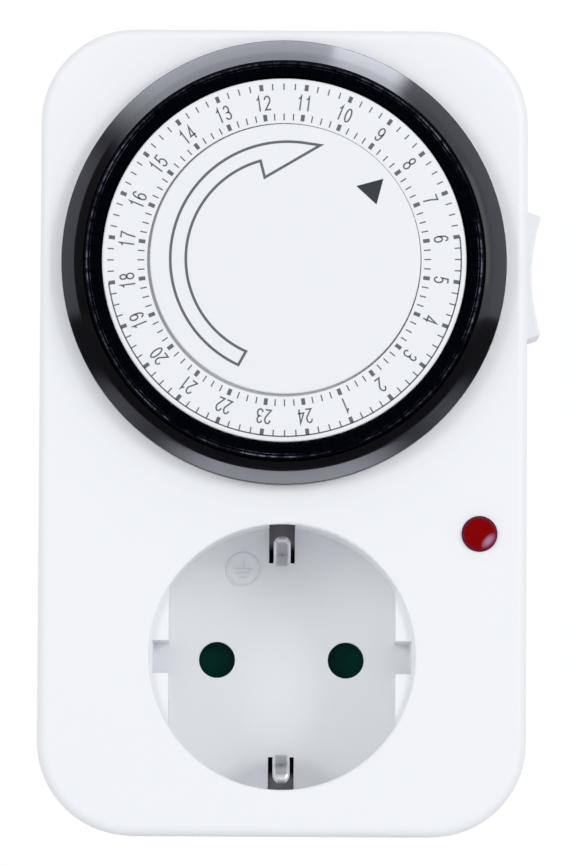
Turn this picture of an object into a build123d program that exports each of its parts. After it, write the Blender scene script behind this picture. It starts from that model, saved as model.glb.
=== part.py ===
from build123d import *
import math
import os

# Mechanical plug-in timer, in millimetres. X is to the right, Z is up, and the front faces -Y.
# The origin is on the face of the rear plug, midway between its two pins.

# Housing
BODY_WIDTH = 71.0
BODY_HEIGHT = 117.5
BODY_BOTTOM_Z = -26.0
BODY_CORNER = 13.7
WALL = 2.2
FRONT_Y = -55.0
SPLIT_Y = -25.0
REAR_Y = -17.0
FRONT_EDGE_RADIUS = 1.6
REAR_EDGE_RADIUS = 1.5
BODY_MIDDLE_Z = BODY_BOTTOM_Z + BODY_HEIGHT / 2
FRONT_INSIDE_Y = FRONT_Y + WALL
REAR_INSIDE_Y = REAR_Y - WALL
LIP_THICK = 1.0
LIP_HEIGHT = 2.0
LIP_PLAY = 0.15

# Housing screws, driven from the rear
SCREW_X = 27.5
SCREW_BOTTOM_Z = -18.0
SCREW_TOP_Z = 83.5
SCREW_RADIUS = 1.4
SCREW_HOLE_RADIUS = 1.45
SCREW_HEAD_RADIUS = 2.7
SCREW_HEAD_HEIGHT = 1.8
SCREW_SEAT_Y = -22.0
SCREW_LENGTH = 13.0
BOSS_RADIUS = 3.4

# Socket recess for a 4.8 mm pin plug with side earth contacts
RECESS_RADIUS = 19.3
RECESS_DEPTH = 17.5
RECESS_FLAT_X = 16.5
RECESS_LEDGE_DEPTH = 1.2
RECESS_POCKET_X = 18.8
RECESS_POCKET_HALF = 2.4
RECESS_EDGE_RADIUS = 0.35
CUP_RADIUS = 21.2
FLOOR_THICK = 2.0
FLOOR_Y = FRONT_Y + RECESS_DEPTH
FLOOR_BACK_Y = FLOOR_Y + FLOOR_THICK
PIN_SPACING = 19.0
PIN_X = PIN_SPACING / 2
PIN_HOLE_RADIUS = 2.67
EARTH_SLOT_HALF = 1.9
EARTH_SLOT_INNER_Z = 14.3
EARTH_SLOT_OUTER_Z = 21.3
EARTH_SLOT_FRONT_Y = FRONT_Y + 1.1

# Rear plug
PLUG_RADIUS = 18.6
PLUG_FLAT_X = 16.2
PLUG_WALL = 2.0
PLUG_FACE_THICK = 2.5
PIN_RADIUS = 2.4
PIN_LENGTH = 19.0
PIN_TIP_ROUND = 2.25
PIN_SHANK_RADIUS = 2.3
PIN_INNER_Y = -14.0
PIN_COLLAR_RADIUS = 3.4
PIN_COLLAR_THICK = 2.5
PLUG_EARTH_HALF = 2.6
PLUG_EARTH_INNER_Z = 15.4
PLUG_EARTH_Y = (-1.2, -15.5)
PLUG_EDGE_RADIUS = 0.8
INSERT_THICK = 2.5

# Dial: a printed hour ring on a drum that carries 96 quarter-hour tappets
DIAL_Z = 57.3
TAPPETS = 96
TAPPETS_PER_HOUR = 4
PITCH_DEG = 360 / TAPPETS
DIAL_FACE_Y = -60.8
RING_SEAT_Y = -59.0
RING_INNER_RADIUS = 19.85
RING_OUTER_RADIUS = 26.4
RING_LEDGE_RADIUS = 17.0
RING_LEDGE_THICK = 0.8
RING_EDGE = 0.35
DISC_RADIUS = 19.4
DISC_FACE_Y = -61.0
DISC_BACK_Y = -60.0
DISC_OFFSET_X = 0.15
DISC_EDGE_RADIUS = 0.25
DRUM_INNER_RADIUS = 23.6
DRUM_RADIUS = 26.6
DRUM_REAR_Y = -47.9
FLANGE_RADIUS = 28.9
FLANGE_FRONT_Y = -49.6
WEB_INNER_RADIUS = 5.4
WEB_BACK_Y = -57.6
HUB_RADIUS = 6.0
HUB_FRONT_Y = -58.3
HUB_REAR_Y = -45.2
POST_RADIUS = 3.5
POST_BORE_RADIUS = 2.05
POST_FRONT_Y = -58.5
RUNNING_PLAY = 0.05

# Tappets: a block outside the drum, a neck and a head inside its slot
TAPPET_TRAVEL = 3.0
BLOCK_INNER_RADIUS = 26.78
BLOCK_OUTER_RADIUS = 28.95
BLOCK_TOP_RADIUS = 28.6
BLOCK_BACK_Y = -52.8
BLOCK_CHAMFER = 0.5
BLOCK_SIDE_GAP = 0.07
HEAD_INNER_RADIUS = 25.15
NECK_INNER_RADIUS = 25.75
NECK_HALF = 0.25
HEAD_HALF = 0.5
SLOT_PLAY = 0.08
TONGUE_FRONT_Y = -58.8
TONGUE_BACK_Y = -47.8

# Guard ring around the dial: outline from its foot to its crest, as radius and height above the front
GUARD_INNER_RADIUS = 29.35
GUARD_FOOT_RADIUS = 32.4
GUARD_SPIGOT_RADIUS = 30.5
GUARD_HEIGHT = 4.2
GUARD_CREST_RADIUS = 30.0
GUARD_INNER_HEIGHT = 3.7
GUARD_SHOULDER = (31.85, 2.5)
GUARD_SPIGOT_DEPTH = 3.2
DIAL_OPENING_RADIUS = 30.55

# Reduction gears
DIAL_GEAR_TEETH = 96
PINION_TEETH = 12
FINAL_WHEEL_TEETH = 60
MIDDLE_WHEEL_TEETH = 72
DIAL_MODULE = 0.4
FINAL_MODULE = 0.3
MIDDLE_MODULE = 0.25
GEAR_BACKLASH = 0.3
FINAL_GEAR_DEG = 235.0
MIDDLE_GEAR_DEG = 134.6
MOTOR_DEG = 44.5
DIAL_GEAR_Y = (-45.5, -47.3)
FINAL_PINION_Y = (-43.8, -47.3)
FINAL_WHEEL_Y = (-42.8, -43.8)
MIDDLE_PINION_Y = (-42.2, -43.9)
MIDDLE_WHEEL_Y = (-41.2, -42.2)
MOTOR_PINION_Y = (-41.0, -42.4)
GEAR_HOLES = 6
GEAR_HOLE_CIRCLE = 12.3
GEAR_HOLE_RADIUS = 3.6
ARBOR_RADIUS = 0.7
ARBOR_HEAD_RADIUS = 1.2

# Movement plate
PLATE_Y = (-39.1, -40.6)
PLATE_OUTLINE = [
    (-31.0, 26.5), (32.6, 26.5), (32.6, 36.0), (29.8, 39.0), (29.8, 47.0), (28.3, 49.0), (28.3, 72.0),
    (21.5, 79.0), (21.5, 88.6), (-21.5, 88.6), (-21.5, 79.0), (-28.3, 72.0), (-31.0, 60.0),
]
PLATE_POSTS = [(-28.0, 30.0), (30.8, 33.4), (-18.0, 86.0), (18.0, 86.0)]
PLATE_POST_RADIUS = 2.2
PLATE_SCREW_RADIUS = 0.95
PLATE_SCREW_HOLE = 1.0
PLATE_SCREW_HEAD = 2.0

# Synchronous motor
MOTOR_RADIUS = 13.0
MOTOR_REAR_Y = -24.5
MOTOR_SKIN = 0.6
COVER_THICK = 0.8
COIL_INNER_RADIUS = 6.6
COIL_OUTER_RADIUS = 12.1
COIL_Y = (-26.2, -34.0)
ROTOR_RADIUS = 6.1
ROTOR_Y = (-26.4, -33.8)
SHAFT_RADIUS = 0.75
REDUCER_RADIUS = 11.6
REDUCER_Y = (-34.4, -38.3)

# Switch: a lever under the tappets works a pair of contact blades
LEVER_X = (24.5, 27.5)
LEVER_PIVOT_Y = -38.5
LEVER_PIVOT_Z = 42.0
LEVER_PIVOT_RADIUS = 1.0
NOSE_RADIUS_ON_DIAL = 26.0
NOSE_DEG_BELOW_AXIS = 1.875
NOSE_HALF = 0.6
NOSE_TIP_Y = -47.2
NOSE_Z = DIAL_Z - NOSE_RADIUS_ON_DIAL * math.sin(math.radians(NOSE_DEG_BELOW_AXIS))
LEVER_TIP_Z = 35.0
LEVER_ARM_HALF = 1.4
LEVER_WINDOW_TOP_Z = 62.0
BLADE_ROOT_Y = -41.35
BLADE_ROOT_Z = 29.0
BLADE_X = (24.0, 27.6)
BLADE_THICK = 0.5
BLADE_TOP_Z = 38.6
BLADE_ROOT_RADIUS = 0.55
CONTACT_Z = 37.0
CONTACT_RADIUS = 1.1
FIXED_STRIP_Y = (-44.6, -45.2)
LEAF_THICK = 0.3
CONTACT_GAP = 1.75

# Override rocker in the right-hand wall
ROCKER_Z = 56.6
ROCKER_Y = (-33.6, -42.4)
ROCKER_HALF = 8.75
ROCKER_WALL_X = 35.2
ROCKER_WALL_HALF = 9.65
ROCKER_OPENING_HALF = 10.5
ROCKER_TIP_X = 37.9
ROCKER_MIDDLE_X = 36.5
ROCKER_PIVOT_X = 31.3
ROCKER_PIVOT_RADIUS = 1.4
ROCKER_SIDE_PLAY = 0.3
ROCKER_NECK_X = 33.0
ROCKER_NECK_HALF = 9.2
ROCKER_HUB_HALF = 2.2
EAR_THICK = 1.5

# Safety shutter behind the recess floor
SHUTTER_Y = (-33.8, -35.2)
SHUTTER_POST_RADIUS = 2.0
SHUTTER_LOBE_HALF = 3.5
SHUTTER_REACH = 13.0
SOCKET_INSERT_Y = (-32.0, -33.6)
INSERT_POST_RADIUS = 1.5
SLEEVE_Y = (-21.5, -31.8)
SLEEVE_RADIUS = 3.2
SLEEVE_BORE = 2.45
TAIL_TOP_Z = 5.0

# Earth parts
STRIP_THICK = 0.8
EARTH_BAR_Y = (-30.4, -31.4)
EARTH_BAR_HALF = 3.0
EARTH_BAR_REACH = 22.6
CLIP_HALF = 1.25
CLIP_ROOT_Z = 14.9
CLIP_KNEE = (-41.2, 13.6)
CLIP_TIP = (-46.6, 16.0)
CLIP_FOOT_Z = 11.6
PLUG_STRIP_HALF = 2.0
PLUG_STRIP_ROUTE = [(-30.4, 14.4), (-16.6, 14.4), (-13.4, 17.2), (-8.0, 17.9), (-3.0, 16.8)]

# Indicator lamp
LAMP_X = 28.6
LAMP_Z = 18.0
LENS_RADIUS = 2.52
LENS_HOLE_RADIUS = 2.62
LENS_PROUD = 1.0
LENS_FLANGE_RADIUS = 3.4
LENS_HOLLOW_RADIUS = 1.7
LENS_HOLLOW_DEPTH = 0.6
BULB_RADIUS = 1.5
BULB_Y = (-44.3, -54.0)
RESISTOR_AT = (29.4, 18.8)
RESISTOR_RADIUS = 1.2
RESISTOR_Y = (-34.0, -41.0)

# Insulated leads
THIN_WIRE = 0.6
THICK_WIRE = 0.9
WIRE_TAIL_Y = -21.8


def between(sketch, back_y, front_y):
    """Extrudes a sketch, drawn as (X, Z), from one depth to another nearer the front."""
    return extrude(Plane.XZ.offset(-back_y) * sketch, amount=back_y - front_y)


def disc(x, z, radius, back_y, front_y):
    return between(Pos(x, z) * Circle(radius), back_y, front_y)


def tube(x, z, radius, bore, back_y, front_y):
    return between(Pos(x, z) * (Circle(radius) - Circle(bore)), back_y, front_y)


def block(x, y, z):
    """A box from its two limits on each axis."""
    low = [min(pair) for pair in (x, y, z)]
    size = [abs(pair[1] - pair[0]) for pair in (x, y, z)]
    centre = [a + b / 2 for a, b in zip(low, size)]
    return Pos(*centre) * Box(*size)


def polygon(points):
    return make_face(Polyline(*points, close=True))


def turned(profile, x, z):
    """Revolves a profile drawn as (radius, y) about an axis along Y."""
    return Pos(x, 0, z) * revolve(Plane.XY * profile, Axis.Y)


def strip_along_x(points, half_x):
    """A bent strip: a closed outline drawn as (y, z), as wide as half_x each side of the middle."""
    return extrude(Plane.YZ.offset(-half_x) * polygon(points), amount=2 * half_x)


def around(centre, distance, degrees):
    x, z = centre
    return x + distance * math.cos(math.radians(degrees)), z + distance * math.sin(math.radians(degrees))


DIAL_CENTRE = (0.0, DIAL_Z)
FINAL_CENTRE = around(DIAL_CENTRE, DIAL_MODULE * (DIAL_GEAR_TEETH + PINION_TEETH) / 2, FINAL_GEAR_DEG)
MIDDLE_CENTRE = around(FINAL_CENTRE, FINAL_MODULE * (FINAL_WHEEL_TEETH + PINION_TEETH) / 2, MIDDLE_GEAR_DEG)
MOTOR_CENTRE = around(MIDDLE_CENTRE, MIDDLE_MODULE * (MIDDLE_WHEEL_TEETH + PINION_TEETH) / 2, MOTOR_DEG)


def body_outline(inset=0.0):
    size = BODY_WIDTH - 2 * inset, BODY_HEIGHT - 2 * inset
    return Pos(0, BODY_MIDDLE_Z) * RectangleRounded(*size, BODY_CORNER - inset)


def screw_places():
    return [(side * SCREW_X, z) for side in (-1, 1) for z in (SCREW_BOTTOM_Z, SCREW_TOP_Z)]


def recess_floor_outline():
    """The recess below its mouth: round, with a flat each side and a guide pocket in each flat."""
    flats = Rectangle(2 * RECESS_FLAT_X, 3 * RECESS_RADIUS)
    pockets = Rectangle(2 * RECESS_POCKET_X, 2 * RECESS_POCKET_HALF)
    return Circle(RECESS_RADIUS) & (flats + pockets)


def front_housing():
    shell = between(body_outline(), SPLIT_Y, FRONT_Y)
    front_face = shell.faces().sort_by(Axis.Y)[0]
    shell = fillet(front_face.edges(), FRONT_EDGE_RADIUS)
    shell -= between(body_outline(WALL), SPLIT_Y, FRONT_INSIDE_Y)
    shell += disc(0, 0, CUP_RADIUS, FLOOR_BACK_Y, FRONT_INSIDE_Y)
    for x, z in screw_places():
        shell += disc(x, z, BOSS_RADIUS, SPLIT_Y, FRONT_INSIDE_Y)
    for x, z in PLATE_POSTS:
        shell += disc(x, z, PLATE_POST_RADIUS, PLATE_Y[1], FRONT_INSIDE_Y)
    shell -= disc(*DIAL_CENTRE, DIAL_OPENING_RADIUS, FRONT_INSIDE_Y, FRONT_Y)
    mouth = disc(0, 0, RECESS_RADIUS, FRONT_Y + RECESS_LEDGE_DEPTH, FRONT_Y)
    shell -= mouth
    mouth_edges = shell.edges().filter_by(GeomType.CIRCLE).filter_by(
        lambda e: abs(e.radius - RECESS_RADIUS) < 0.01 and abs(e.center().Y - FRONT_Y) < 0.01
    )
    shell = fillet(mouth_edges, RECESS_EDGE_RADIUS)
    shell -= between(recess_floor_outline(), FLOOR_Y, FRONT_Y + RECESS_LEDGE_DEPTH)
    for side in (-1, 1):
        shell -= disc(side * PIN_X, 0, PIN_HOLE_RADIUS, FLOOR_BACK_Y, FLOOR_Y)
        slot_z = side * EARTH_SLOT_INNER_Z, side * EARTH_SLOT_OUTER_Z
        shell -= block((-EARTH_SLOT_HALF, EARTH_SLOT_HALF), (FLOOR_BACK_Y, EARTH_SLOT_FRONT_Y), slot_z)
    for x, z in screw_places():
        shell -= disc(x, z, SCREW_HOLE_RADIUS, SPLIT_Y, SCREW_SEAT_Y - SCREW_LENGTH - 1)
    for x, z in PLATE_POSTS:
        shell -= disc(x, z, PLATE_SCREW_HOLE, PLATE_Y[1], PLATE_Y[1] - 8)
    for x, z in insert_posts():
        shell += disc(x, z, INSERT_POST_RADIUS, SOCKET_INSERT_Y[0] + 0.3, FLOOR_BACK_Y - 0.2)
    shell -= disc(LAMP_X, LAMP_Z, LENS_HOLE_RADIUS, FRONT_INSIDE_Y, FRONT_Y)
    shell -= rocker_opening()
    for y in rocker_ear_depths():
        shell += rocker_ear(y)
    return shell


def insert_posts():
    return [(x, z) for x in (-15.6, 15.6) for z in (-8.0, 8.0)]


def rocker_opening():
    wall_x = BODY_WIDTH / 2 - WALL - 1, BODY_WIDTH / 2 + 1
    y = ROCKER_Y[0] + ROCKER_SIDE_PLAY, ROCKER_Y[1] - ROCKER_SIDE_PLAY
    return block(wall_x, y, (ROCKER_Z - ROCKER_OPENING_HALF, ROCKER_Z + ROCKER_OPENING_HALF))


def rocker_ear_depths():
    back = ROCKER_Y[0] + ROCKER_SIDE_PLAY
    front = ROCKER_Y[1] - ROCKER_SIDE_PLAY
    return (back + EAR_THICK, back), (front, front - EAR_THICK)


def rocker_ear(y):
    ear = block((ROCKER_PIVOT_X - 2.6, BODY_WIDTH / 2 - WALL + 0.2), y, (ROCKER_Z - 4, ROCKER_Z + 4))
    return ear - disc(ROCKER_PIVOT_X, ROCKER_Z, ROCKER_PIVOT_RADIUS + RUNNING_PLAY, *y)


def plug_outline(inset=0.0):
    return Circle(PLUG_RADIUS - inset) & Rectangle(2 * (PLUG_FLAT_X - inset), 3 * PLUG_RADIUS)


def rear_housing():
    shell = between(body_outline(), REAR_Y, SPLIT_Y)
    rear_face = shell.faces().sort_by(Axis.Y)[-1]
    shell = fillet(rear_face.edges(), REAR_EDGE_RADIUS)
    shell -= between(body_outline(WALL), REAR_INSIDE_Y, SPLIT_Y)
    lip = body_outline(WALL + LIP_PLAY) - body_outline(WALL + LIP_PLAY + LIP_THICK)
    shell += between(lip, REAR_INSIDE_Y, SPLIT_Y - LIP_HEIGHT)
    boss = between(plug_outline(), 0, REAR_Y)
    plug_face = boss.faces().sort_by(Axis.Y)[-1]
    shell += fillet(plug_face.edges(), PLUG_EDGE_RADIUS)
    shell -= between(plug_outline(PLUG_WALL), -PLUG_FACE_THICK, REAR_INSIDE_Y)
    for x, z in screw_places():
        shell += disc(x, z, BOSS_RADIUS + 1, REAR_INSIDE_Y, SPLIT_Y)
        shell -= disc(x, z, SCREW_HEAD_RADIUS + 0.3, REAR_Y, SCREW_SEAT_Y)
        shell -= disc(x, z, SCREW_HOLE_RADIUS, SCREW_SEAT_Y, SPLIT_Y - LIP_HEIGHT)
        shell -= disc(x, z, BOSS_RADIUS + 0.3, SPLIT_Y, SPLIT_Y - LIP_HEIGHT)
    for side in (-1, 1):
        shell -= disc(side * PIN_X, 0, PIN_RADIUS + RUNNING_PLAY, 0, -PLUG_FACE_THICK)
        channel_z = side * PLUG_EARTH_INNER_Z, side * (PLUG_RADIUS + 1)
        shell -= block((-PLUG_EARTH_HALF, PLUG_EARTH_HALF), PLUG_EARTH_Y, channel_z)
    return shell


def housing_screws():
    screws = []
    for x, z in screw_places():
        head = disc(x, z, SCREW_HEAD_RADIUS, SCREW_SEAT_Y + SCREW_HEAD_HEIGHT, SCREW_SEAT_Y)
        head_top = SCREW_SEAT_Y + SCREW_HEAD_HEIGHT
        for x_half, z_half in ((1.5, 0.35), (0.35, 1.5)):
            head -= block((x - x_half, x + x_half), (head_top, head_top - 1.1), (z - z_half, z + z_half))
        screws.append(head + disc(x, z, SCREW_RADIUS, SCREW_SEAT_Y, SCREW_SEAT_Y - SCREW_LENGTH))
    return screws


def guard_ring():
    """The glossy ring: a foot on the housing front, a convex outer side, a crest, and a spigot behind."""
    outer = Line((GUARD_SPIGOT_RADIUS, FRONT_Y), (GUARD_FOOT_RADIUS, FRONT_Y))
    shoulder = GUARD_SHOULDER[0], FRONT_Y - GUARD_SHOULDER[1]
    crest = GUARD_CREST_RADIUS, FRONT_Y - GUARD_HEIGHT
    side = ThreePointArc(outer @ 1, shoulder, crest)
    inner_top = GUARD_INNER_RADIUS, FRONT_Y - GUARD_INNER_HEIGHT
    rear = FRONT_Y + GUARD_SPIGOT_DEPTH
    rest = Polyline(crest, inner_top, (GUARD_INNER_RADIUS, rear), (GUARD_SPIGOT_RADIUS, rear), outer @ 0)
    return turned(make_face(outer + side + rest), *DIAL_CENTRE)


def hour_ring():
    """The white ring that carries the printed hours, with a thin ledge under the fixed disc."""
    outline = [
        (RING_LEDGE_RADIUS, RING_SEAT_Y), (RING_OUTER_RADIUS, RING_SEAT_Y),
        (RING_OUTER_RADIUS, DIAL_FACE_Y + RING_EDGE), (RING_OUTER_RADIUS - RING_EDGE, DIAL_FACE_Y),
        (RING_INNER_RADIUS, DIAL_FACE_Y), (RING_INNER_RADIUS, RING_SEAT_Y - RING_LEDGE_THICK),
        (RING_LEDGE_RADIUS, RING_SEAT_Y - RING_LEDGE_THICK),
    ]
    return turned(polygon(outline), *DIAL_CENTRE)


def centre_disc():
    """The fixed disc: it doesn't turn, because its stem is pressed into the post of the plate."""
    plate = disc(DISC_OFFSET_X, DIAL_Z, DISC_RADIUS, DISC_BACK_Y, DISC_FACE_Y)
    plate = fillet(plate.faces().sort_by(Axis.Y)[0].edges(), DISC_EDGE_RADIUS)
    plate += disc(*DIAL_CENTRE, 5.0, POST_FRONT_Y, DISC_BACK_Y)
    return plate + disc(*DIAL_CENTRE, POST_BORE_RADIUS - 0.03, POST_FRONT_Y + 8, POST_FRONT_Y)


def polar(radius, across, degrees):
    """A point at a radius along a direction and a distance to its left."""
    c, s = math.cos(math.radians(degrees)), math.sin(math.radians(degrees))
    return radius * c - across * s, radius * s + across * c


def slot_centres():
    return [(k + 0.5) * PITCH_DEG for k in range(TAPPETS)]


def slot_points(degrees, mouth_radius):
    """The slot for one tappet: a wide part for its head and a narrow part for its neck."""
    head, neck = HEAD_HALF + SLOT_PLAY, NECK_HALF + SLOT_PLAY
    inner, step = HEAD_INNER_RADIUS - SLOT_PLAY, NECK_INNER_RADIUS + SLOT_PLAY
    half = [(mouth_radius, neck), (step, neck), (step, head), (inner, head)]
    points = [(r, -a) for r, a in half] + [(r, a) for r, a in reversed(half)]
    return [polar(r, a, degrees) for r, a in points]


def dial_drum():
    """The drum: a slotted rim, a flange that stops the tappets, a web and a hub that turns on the post."""
    rim_points = [p for a in slot_centres() for p in slot_points(a, DRUM_RADIUS)]
    rim = polygon(rim_points) - Circle(DRUM_INNER_RADIUS)
    holes = [Wire(Polyline(*slot_points(a, DRUM_RADIUS + 0.4), close=True).edges()) for a in slot_centres()]
    flange = Face(Wire.make_circle(FLANGE_RADIUS), holes) - Circle(DRUM_INNER_RADIUS)
    drum = between(rim, FLANGE_FRONT_Y, RING_SEAT_Y)
    drum += between(flange, DRUM_REAR_Y, FLANGE_FRONT_Y)
    drum += tube(0, 0, DRUM_INNER_RADIUS + 0.3, WEB_INNER_RADIUS, WEB_BACK_Y, RING_SEAT_Y)
    drum += tube(0, 0, HUB_RADIUS, POST_RADIUS + RUNNING_PLAY, HUB_REAR_Y, HUB_FRONT_Y)
    return Pos(0, 0, DIAL_Z) * drum


def tappet(degrees):
    """One quarter-hour tappet: the visible block, and the neck and head that slide in the drum."""
    half_pitch = math.tan(math.radians(PITCH_DEG / 2))

    def block_half(radius):
        return radius * half_pitch - BLOCK_SIDE_GAP

    def face_of(half):
        points = [(r, -a) for r, a in half] + [(r, a) for r, a in reversed(half)]
        return polygon([polar(r, a, degrees) for r, a in points])

    inner, outer = BLOCK_INNER_RADIUS, BLOCK_OUTER_RADIUS
    footprint = face_of([(outer, block_half(outer)), (inner, block_half(inner))])
    body = between(footprint, BLOCK_BACK_Y, DIAL_FACE_Y)
    bevel_back = DIAL_FACE_Y + BLOCK_CHAMFER
    bevel = polygon([
        (BLOCK_TOP_RADIUS, DIAL_FACE_Y - 0.1), (outer + 0.1, DIAL_FACE_Y - 0.1), (outer + 0.1, bevel_back),
        (outer, bevel_back), (BLOCK_TOP_RADIUS, DIAL_FACE_Y),
    ])
    cutter = extrude(Plane.XY * bevel, amount=2, both=True)
    body -= cutter.rotate(Axis.Y, -degrees)
    stem = [
        (inner + 0.1, NECK_HALF), (NECK_INNER_RADIUS, NECK_HALF), (NECK_INNER_RADIUS, HEAD_HALF),
        (HEAD_INNER_RADIUS, HEAD_HALF),
    ]
    body += between(face_of(stem), TONGUE_BACK_Y, TONGUE_FRONT_Y)
    return Pos(0, 0, DIAL_Z) * body


def hour_tappets(hour):
    """The four tappets of the hour that starts at this number. Hours run anticlockwise on the ring."""
    sector_deg = 90 - (11 - hour) * 360 / 24
    first = sector_deg - 1.5 * PITCH_DEG
    return [tappet(first + k * PITCH_DEG) for k in range(TAPPETS_PER_HOUR)]


def involute_half_angle(radius, base_radius):
    """How far an involute has turned, in radians, where it reaches this radius."""
    if radius <= base_radius:
        return 0.0
    t = math.sqrt((radius / base_radius) ** 2 - 1)
    return t - math.atan(t)


def gear_outline(teeth, module, first_deg, gap=False):
    """A spur gear's outline with straight-sided steps along each flank.

    A tooth, or a gap if gap is true, is centred on first_deg. The teeth are short and thinned for backlash.
    """
    pitch_radius = teeth * module / 2
    base = pitch_radius * math.cos(math.radians(20))
    tip, root = pitch_radius + 0.75 * module, pitch_radius - 1.1 * module
    half_at_pitch = (math.pi * module / 2 - GEAR_BACKLASH * module) / 2 / pitch_radius
    start = max(base, root)
    flank = [start + (tip - start) * k / 3 for k in range(4)]
    involute_at_pitch = involute_half_angle(pitch_radius, base)
    half = [(r, half_at_pitch + involute_at_pitch - involute_half_angle(r, base)) for r in flank]
    if root < base:
        half.insert(0, (root, half[0][1]))
    step = 2 * math.pi / teeth
    shift = math.radians(first_deg) + (step / 2 if gap else 0)
    points = []
    for k in range(teeth):
        middle = shift + k * step
        tooth = [(r, middle - a) for r, a in half] + [(r, middle + a) for r, a in reversed(half)]
        points += [(r * math.cos(a), r * math.sin(a)) for r, a in tooth]
    return polygon(points)


def gear(centre, teeth, module, first_deg, y, gap=False, bore=0.0):
    outline = gear_outline(teeth, module, first_deg, gap)
    if bore:
        outline -= Circle(bore)
    return between(Pos(*centre) * outline, *y)


def dial_gear():
    bore = HUB_RADIUS + 0.02
    wheel = gear(DIAL_CENTRE, DIAL_GEAR_TEETH, DIAL_MODULE, FINAL_GEAR_DEG, DIAL_GEAR_Y, bore=bore)
    for k in range(GEAR_HOLES):
        hole_centre = around(DIAL_CENTRE, GEAR_HOLE_CIRCLE, (k + 0.5) * 360 / GEAR_HOLES)
        wheel -= disc(*hole_centre, GEAR_HOLE_RADIUS, *DIAL_GEAR_Y)
    return wheel


def final_gear():
    bore = ARBOR_RADIUS + RUNNING_PLAY
    facing = FINAL_GEAR_DEG + 180
    pinion = gear(FINAL_CENTRE, PINION_TEETH, DIAL_MODULE, facing, FINAL_PINION_Y, gap=True, bore=bore)
    wheel = gear(FINAL_CENTRE, FINAL_WHEEL_TEETH, FINAL_MODULE, MIDDLE_GEAR_DEG, FINAL_WHEEL_Y, bore=bore)
    return pinion + wheel


def middle_gear():
    bore = ARBOR_RADIUS + RUNNING_PLAY
    facing = MIDDLE_GEAR_DEG + 180
    pinion = gear(MIDDLE_CENTRE, PINION_TEETH, FINAL_MODULE, facing, MIDDLE_PINION_Y, gap=True, bore=bore)
    wheel = gear(MIDDLE_CENTRE, MIDDLE_WHEEL_TEETH, MIDDLE_MODULE, MOTOR_DEG, MIDDLE_WHEEL_Y, bore=bore)
    return pinion + wheel


def motor_pinion():
    pinion = gear(MOTOR_CENTRE, PINION_TEETH, MIDDLE_MODULE, MOTOR_DEG + 180, MOTOR_PINION_Y, gap=True)
    return pinion + disc(*MOTOR_CENTRE, SHAFT_RADIUS, REDUCER_Y[1] - 0.1, MOTOR_PINION_Y[0])


def gear_arbors():
    arbors = []
    for centre, pinion_y in ((FINAL_CENTRE, FINAL_PINION_Y), (MIDDLE_CENTRE, MIDDLE_PINION_Y)):
        front = pinion_y[1] - 0.15
        arbor = disc(*centre, ARBOR_RADIUS, PLATE_Y[0], front)
        arbors.append(arbor + disc(*centre, ARBOR_HEAD_RADIUS, front, front - 0.3))
    return arbors


def lever_window():
    y = PLATE_Y[0] + 1, PLATE_Y[1] - 1
    return block((LEVER_X[0] - 0.4, LEVER_X[1] + 0.4), y, (LEVER_TIP_Z - 2, LEVER_WINDOW_TOP_Z))


def movement_plate():
    """The plate that carries the dial post, the gear arbors, the motor, the lever and the contacts."""
    plate = between(polygon(PLATE_OUTLINE), *PLATE_Y)
    plate += disc(*DIAL_CENTRE, POST_RADIUS + 1.5, PLATE_Y[1], HUB_REAR_Y + 0.3)
    plate += disc(*DIAL_CENTRE, POST_RADIUS, PLATE_Y[1], POST_FRONT_Y)
    plate -= disc(*DIAL_CENTRE, POST_BORE_RADIUS, PLATE_Y[1] - 2, POST_FRONT_Y)
    plate -= lever_window()
    for x in ((LEVER_X[0] - 2.0, LEVER_X[0] - 0.4), (LEVER_X[1] + 0.4, LEVER_X[1] + 2.0)):
        y = LEVER_PIVOT_Y + 2.6, PLATE_Y[1]
        plate += block(x, y, (LEVER_PIVOT_Z - 2.5, LEVER_PIVOT_Z + 2.5))
    pivot = Cylinder(LEVER_PIVOT_RADIUS + RUNNING_PLAY, 8)
    plate -= Pos(sum(LEVER_X) / 2, LEVER_PIVOT_Y, LEVER_PIVOT_Z) * Rot(0, 90, 0) * pivot
    for x in ((BLADE_X[0] - 1.1, BLADE_X[0] - 0.1), (BLADE_X[1] + 0.1, BLADE_X[1] + 1.1)):
        plate += block(x, (PLATE_Y[1], BLADE_ROOT_Y - 1.6), (BLADE_ROOT_Z - 1.6, BLADE_ROOT_Z + 1.6))
    root = Cylinder(BLADE_ROOT_RADIUS + RUNNING_PLAY, BLADE_X[1] - BLADE_X[0] + 2.2)
    plate -= Pos(sum(BLADE_X) / 2, BLADE_ROOT_Y, BLADE_ROOT_Z) * Rot(0, 90, 0) * root
    for x, z in PLATE_POSTS:
        plate -= disc(x, z, PLATE_SCREW_HOLE, *PLATE_Y)
    for centre, wheel_y in ((FINAL_CENTRE, FINAL_WHEEL_Y), (MIDDLE_CENTRE, MIDDLE_WHEEL_Y)):
        plate += disc(*centre, ARBOR_HEAD_RADIUS, PLATE_Y[1], wheel_y[0] + 0.1)
        plate -= disc(*centre, ARBOR_RADIUS + 0.01, PLATE_Y[0], wheel_y[0])
    plate -= disc(*MOTOR_CENTRE, 2.6, *PLATE_Y)
    return plate


def plate_screws():
    screws = []
    for x, z in PLATE_POSTS:
        shank = disc(x, z, PLATE_SCREW_RADIUS, PLATE_Y[0], PLATE_Y[1] - 7)
        screws.append(shank + disc(x, z, PLATE_SCREW_HEAD, PLATE_Y[0] + 1.2, PLATE_Y[0]))
    return screws


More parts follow.
